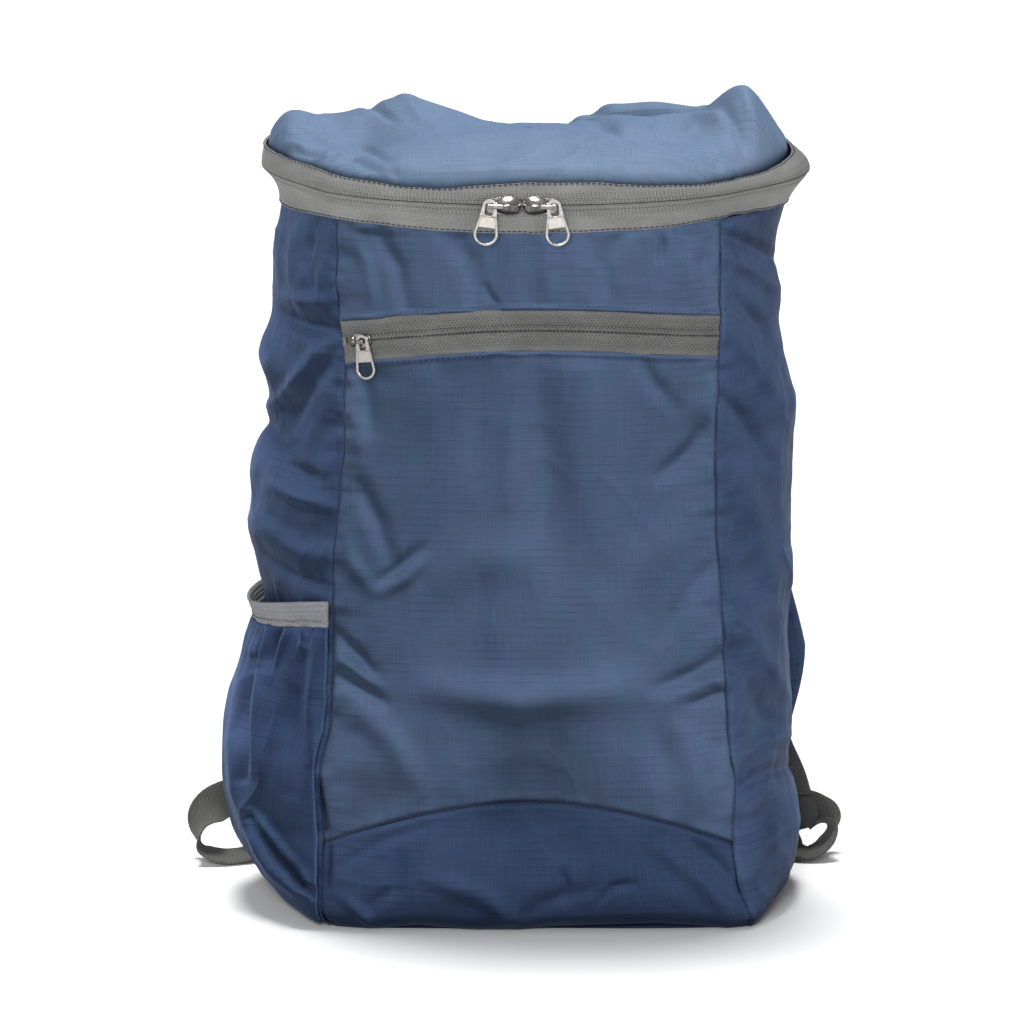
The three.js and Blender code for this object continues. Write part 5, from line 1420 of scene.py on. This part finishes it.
# Elastic hem, ribbed, with its wandering row of stitches
u = np.linspace(0, 1, 320)[None, :]
v = np.linspace(0, 1, 40)[:, None]
way = to_reach(mouth_height(u) - 0.4 + v * (ELASTIC_WIDTH + 0.4))
side = POCKET_FROM + (POCKET_TO - POCKET_FROM) * u + 0 * v
ribs = 0.22 * np.cos(2 * np.pi * (v * 5.2)) * step(0.38, 0.45, v) * step(0.99, 0.94, v)
waves = 0.35 * ripple(u * 42, v * 0.8, 101) * step(0.5, 0, v) + 0.2 * ripple(u * 20, v, 102)
lift = mouth_stand(u) + 2 * v * np.sin(np.pi * u) + ELASTIC + ribs + waves - 0.5 * bell(v - 0.22, 0.04)
points = skin(side, way) + outward(side, way) * lift[..., None]
uv = np.stack([u * 170 + 0 * v, way], -1)
sheet("elastic_hem", points, uv, ELASTIC_GREY, ["side_pocket_elastic"], ELASTIC * 0.85)
hem_u = np.linspace(0.01, 0.99, 700)
hem_side = POCKET_FROM + (POCKET_TO - POCKET_FROM) * hem_u
hem_v = 0.22 + 0.05 * ripple(hem_u * 26, 0.4, 103)
hem_lift = mouth_stand(hem_u) + 2 * hem_v * np.sin(np.pi * hem_u) + ELASTIC + 0.1
points, out = on_body(hem_side, to_reach(mouth_height(hem_u) + hem_v * ELASTIC_WIDTH), hem_lift)
stitches("elastic_stitches", points, out, 2.0, 0.7, GREY_THREAD, 0.5, 0.25, seed=12)


# Straps
def curve(points, count, centripetal=True):
    """Points on a smooth curve through points, the ways along it and the shares of it."""
    points = np.asarray(points, float)
    padded = np.concatenate([[2 * points[0] - points[1]], points, [2 * points[-1] - points[-2]]])
    t = np.linspace(0, 1, count + 1)
    spot = np.minimum(t * (len(points) - 1), len(points) - 1 - 1e-9)
    k = spot.astype(int)
    w = (spot - k)[:, None]
    p0, p1, p2, p3 = (padded[k + n] for n in range(4))
    power = 0.5 if centripetal else 0.0
    d0, d1, d2 = (np.linalg.norm(b - a, axis=1)[:, None] ** power for a, b in ((p0, p1), (p1, p2), (p2, p3)))
    t1 = ((p1 - p0) / d0 - (p2 - p0) / (d0 + d1) + (p2 - p1) / d1) * d1
    t2 = ((p2 - p1) / d1 - (p3 - p1) / (d1 + d2) + (p3 - p2) / d2) * d1
    c2, c3 = -3 * p1 + 3 * p2 - 2 * t1 - t2, 2 * p1 - 2 * p2 + t1 + t2
    place = p1 + t1 * w + c2 * w ** 2 + c3 * w ** 3
    along = unit(t1 + 2 * c2 * w + 3 * c3 * w ** 2)
    return place, along, t


STRAP_ROUTE = [
    (0.4, 0.045, 0.955), (0.405, 0.075, 0.91), (0.45, 0.23, 0.81), (0.55, 0.39, 0.66), (0.68, 0.45, 0.5),
    (0.81, 0.38, 0.36), (0.88, 0.27, 0.26), (0.905, 0.17, 0.19),
]
TAB_ROUTE = [
    (0.906, 0.168, 0.1888), (0.91, 0.15, 0.178), (0.935, 0.09, 0.15), (0.985, 0.04, 0.11), (1.01, 0.02, 0.08),
]
RIGHT_WEB_ROUTE = [
    (1.03, 0.06, 0.07, 0, 0.12, 1),
    (1.12, 0.075, 0.06, -0.3, 0.05, 1),
    (1.165, 0.04, 0.046, -0.1, 0.8, 0.7),
    (1.155, -0.05, 0.024, -0.1, 1, 0.2),
    (1.1, -0.1, 0.0105, -0.1, 1, 0.1),
    (1.03, -0.06, 0.0125, -0.2, 0.95, 0.2),
    (0.93, 0.09, 0.029, 0.05, 0.3, 1),
    (0.77, -0.04, 0.04, 0, 0, 1),
]
LEFT_WEB_ROUTE = [
    (-1.03, 0.06, 0.078, 0, 0.12, 1),
    (-1.16, 0.07, 0.081, -0.1, 0.1, 1),
    (-1.245, -0.03, 0.07, -0.35, 0.5, 0.8),
    (-1.285, -0.13, 0.044, -0.2, 1, 0.35),
    (-1.275, -0.18, 0.021, 0, 1, 0.1),
    (-1.2, -0.19, 0.0095, 0, 1, 0.13),
    (-1.07, -0.08, 0.0095, 0.2, 0.95, 0.12),
    (-1.0, 0.06, 0.016, 0.1, 0.9, 0.3),
    (-0.92, 0.09, 0.031, 0, 0.3, 1),
    (-0.77, -0.04, 0.04, 0, 0, 1),
]
HAUL_SPAN, HAUL_REACH, HAUL_HEIGHT, HAUL_DROP, HAUL_WIDTH = 96, 17, 380, 5, 20
HAUL_POINTS = [
    (-1, 0, 0), (-0.72, 0.02, 0), (-0.5, 0.45, 0.3), (-0.25, 0.9, 0.9),
    (0.25, 0.9, 0.9), (0.5, 0.45, 0.3), (0.72, 0.02, 0), (1, 0, 0),
]


def on_bag(rows, mirror):
    rows = np.asarray(rows)
    return np.stack([
        mirror * rows[:, 0] * BODY_WIDTH / 2, (1 + rows[:, 1]) * BODY_DEPTH / 2, rows[:, 2] * RIM_HEIGHT,
    ], -1)


def strip(
    name, place, along, wanted, width, thickness, material, node, around=24, crown=0.0, wave=0.0, seed=0,
):
    """A flat band along a line: a rounded section whose width points as wanted."""
    across = unit(wanted - along * np.sum(wanted * along, axis=1)[:, None])
    flat = np.cross(across, along)
    count = len(place)
    width = np.broadcast_to(np.asarray(width, float), count)
    angle = np.linspace(0, 2 * math.pi, around, endpoint=False)
    w = np.sign(np.cos(angle)) * np.abs(np.cos(angle)) ** (0.55 if crown else 0.3)
    d = np.sign(np.sin(angle)) * np.abs(np.sin(angle)) ** (0.8 if crown else 0.45)
    way = lengths(place, 0)
    deep = thickness / 2 * (d[None, :] * (1 + crown * (1 - w[None, :] ** 2)))
    deep = deep + wave * layered(way[:, None] / 13, w[None, :] * 2.2, seed, 2) * np.abs(d)[None, :]
    points = place[:, None] + across[:, None] * (w[None, :] * width[:, None] / 2)[..., None]
    points = points + flat[:, None] * deep[..., None]
    uv = np.stack([way[:, None] + 0 * w, w[None, :] * width[:, None] / 2], -1)
    caps = [list(range(around))[::-1], [(count - 1) * around + k for k in range(around)]]
    piece = make(name, points, grid_faces(count, around, around=True).tolist() + caps, uv, material)
    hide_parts(node)
    return piece, points


BACKWARDS = np.array([0.0, 1, 0])
for name, mirror, web_route in (("left", -1, LEFT_WEB_ROUTE), ("right", 1, RIGHT_WEB_ROUTE)):
    place, along, t = curve(on_bag(STRAP_ROUTE, mirror), 220)
    facing = np.cross(BACKWARDS, along)
    width = STRAP_WIDTH + (STRAP_END_WIDTH - STRAP_WIDTH) * np.clip(6 * t - 5, 0, 1)
    strap, points = strip(
        "strap_pad_" + name, place, along, facing, width, STRAP_THICKNESS, SIDE_BLUE_SHADED, "shoulder_strap_" + name,
        56, 0.22, 0.25, 110,
    )
    thick_way = unit(points[:, 14] - points[:, 42])
    for row, facing_out in ((6, 1), (22, 1), (34, -1), (50, -1)):
        row_name = "strap_stitches_%s_%d" % (name, row)
        stitches(row_name, points[:, row], facing_out * thick_way, 2.4, 1.0, BLUE_THREAD, 0.6, seed=row)
    place, along, t = curve(on_bag(TAB_ROUTE, mirror), 60)
    wanted = np.cross(BACKWARDS, along)
    strip("tab_" + name, place, along, wanted, 26, 1.8, WEB_GREY, "strap_tab_" + name)
    rows = np.asarray(web_route, float)
    place, along, t = curve(on_bag(rows, 1), 160)
    listed = np.concatenate([np.linspace(0, 1, len(rows))[:, None], rows[:, 3:]], 1)
    wanted = np.stack([smooth(listed, k, t) for k in (1, 2, 3)], -1)
    strip("web_" + name, place, along, wanted, 20, 1.5, WEB_GREY, "strap_web_" + name)

haul_face = BODY_DEPTH / 2 + SEAM_GAP + 0.75
haul_points = [
    (a * HAUL_SPAN / 2, haul_face + o * HAUL_REACH, HAUL_HEIGHT - d * HAUL_DROP) for a, o, d in HAUL_POINTS
]
place, along, t = curve(haul_points, 120)
upright = np.tile([0.0, 0, 1], (len(place), 1))
strip("haul_web", place, along, upright, HAUL_WIDTH, 1.5, WEB_GREY, "haul_loop")

# The stop and the strap locks keep their CAD shapes
PLAIN_PARTS = {"pocket_zip_stop": METAL, "strap_lock_left": LOCK_GREY, "strap_lock_right": LOCK_GREY}
for name, material in PLAIN_PARTS.items():
    for material_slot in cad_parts[name].material_slots:
        material_slot.material = material

# Floor and light
floor_mesh = bpy.data.meshes.new("floor")
FLOOR = 60
corners = [(-FLOOR, -FLOOR, 0), (FLOOR, -FLOOR, 0), (FLOOR, FLOOR, 0), (-FLOOR, FLOOR, 0)]
floor_mesh.from_pydata(corners, [], [(0, 1, 2, 3)])
floor = bpy.data.objects.new("floor", floor_mesh)
bpy.context.scene.collection.objects.link(floor)
floor_material, maker, floor_shader = nodes_of("floor")
maker.fill(floor_shader, {"Base Color": (0.95, 0.95, 0.95, 1), "Roughness": 1, "Specular IOR Level": 0})
floor_mesh.materials.append(floor_material)

# A sky that is bright overhead and dimmer at the sides
world = bpy.data.worlds.new("world")
world.use_nodes = True
sky = Maker(world.node_tree)
height = sky.parts(sky.coordinate("Generated"))[2]
strength = sky.between(height, 0.0, 0.9, 0.12, 0.31)
sky.fill(world.node_tree.nodes["Background"], {"Color": (1, 1, 1, 1), "Strength": strength})
scene = bpy.context.scene
scene.world = world
scene.view_settings.view_transform = "Standard"
scene.view_settings.look = "None"


def area_light(name, location, aim, size, power):
    data = bpy.data.lights.new(name, "AREA")
    data.shape = "RECTANGLE"
    data.size, data.size_y = size
    data.energy = power
    light = bpy.data.objects.new(name, data)
    light.location = location
    light.rotation_euler = (Vector(aim) - Vector(location)).to_track_quat("-Z", "Y").to_euler()
    scene.collection.objects.link(light)


area_light("key_light", (-0.38, -2.7, 1.15), (0, 0, 0.2), (0.8, 0.8), 50)
sun = bpy.data.lights.new("overhead", "SUN")
sun.energy = 3.4
sun.angle = math.radians(20)
overhead = bpy.data.objects.new("overhead", sun)
overhead.rotation_euler = Vector((-0.06, 0.2, 1)).to_track_quat("Z", "Y").to_euler()
scene.collection.objects.link(overhead)
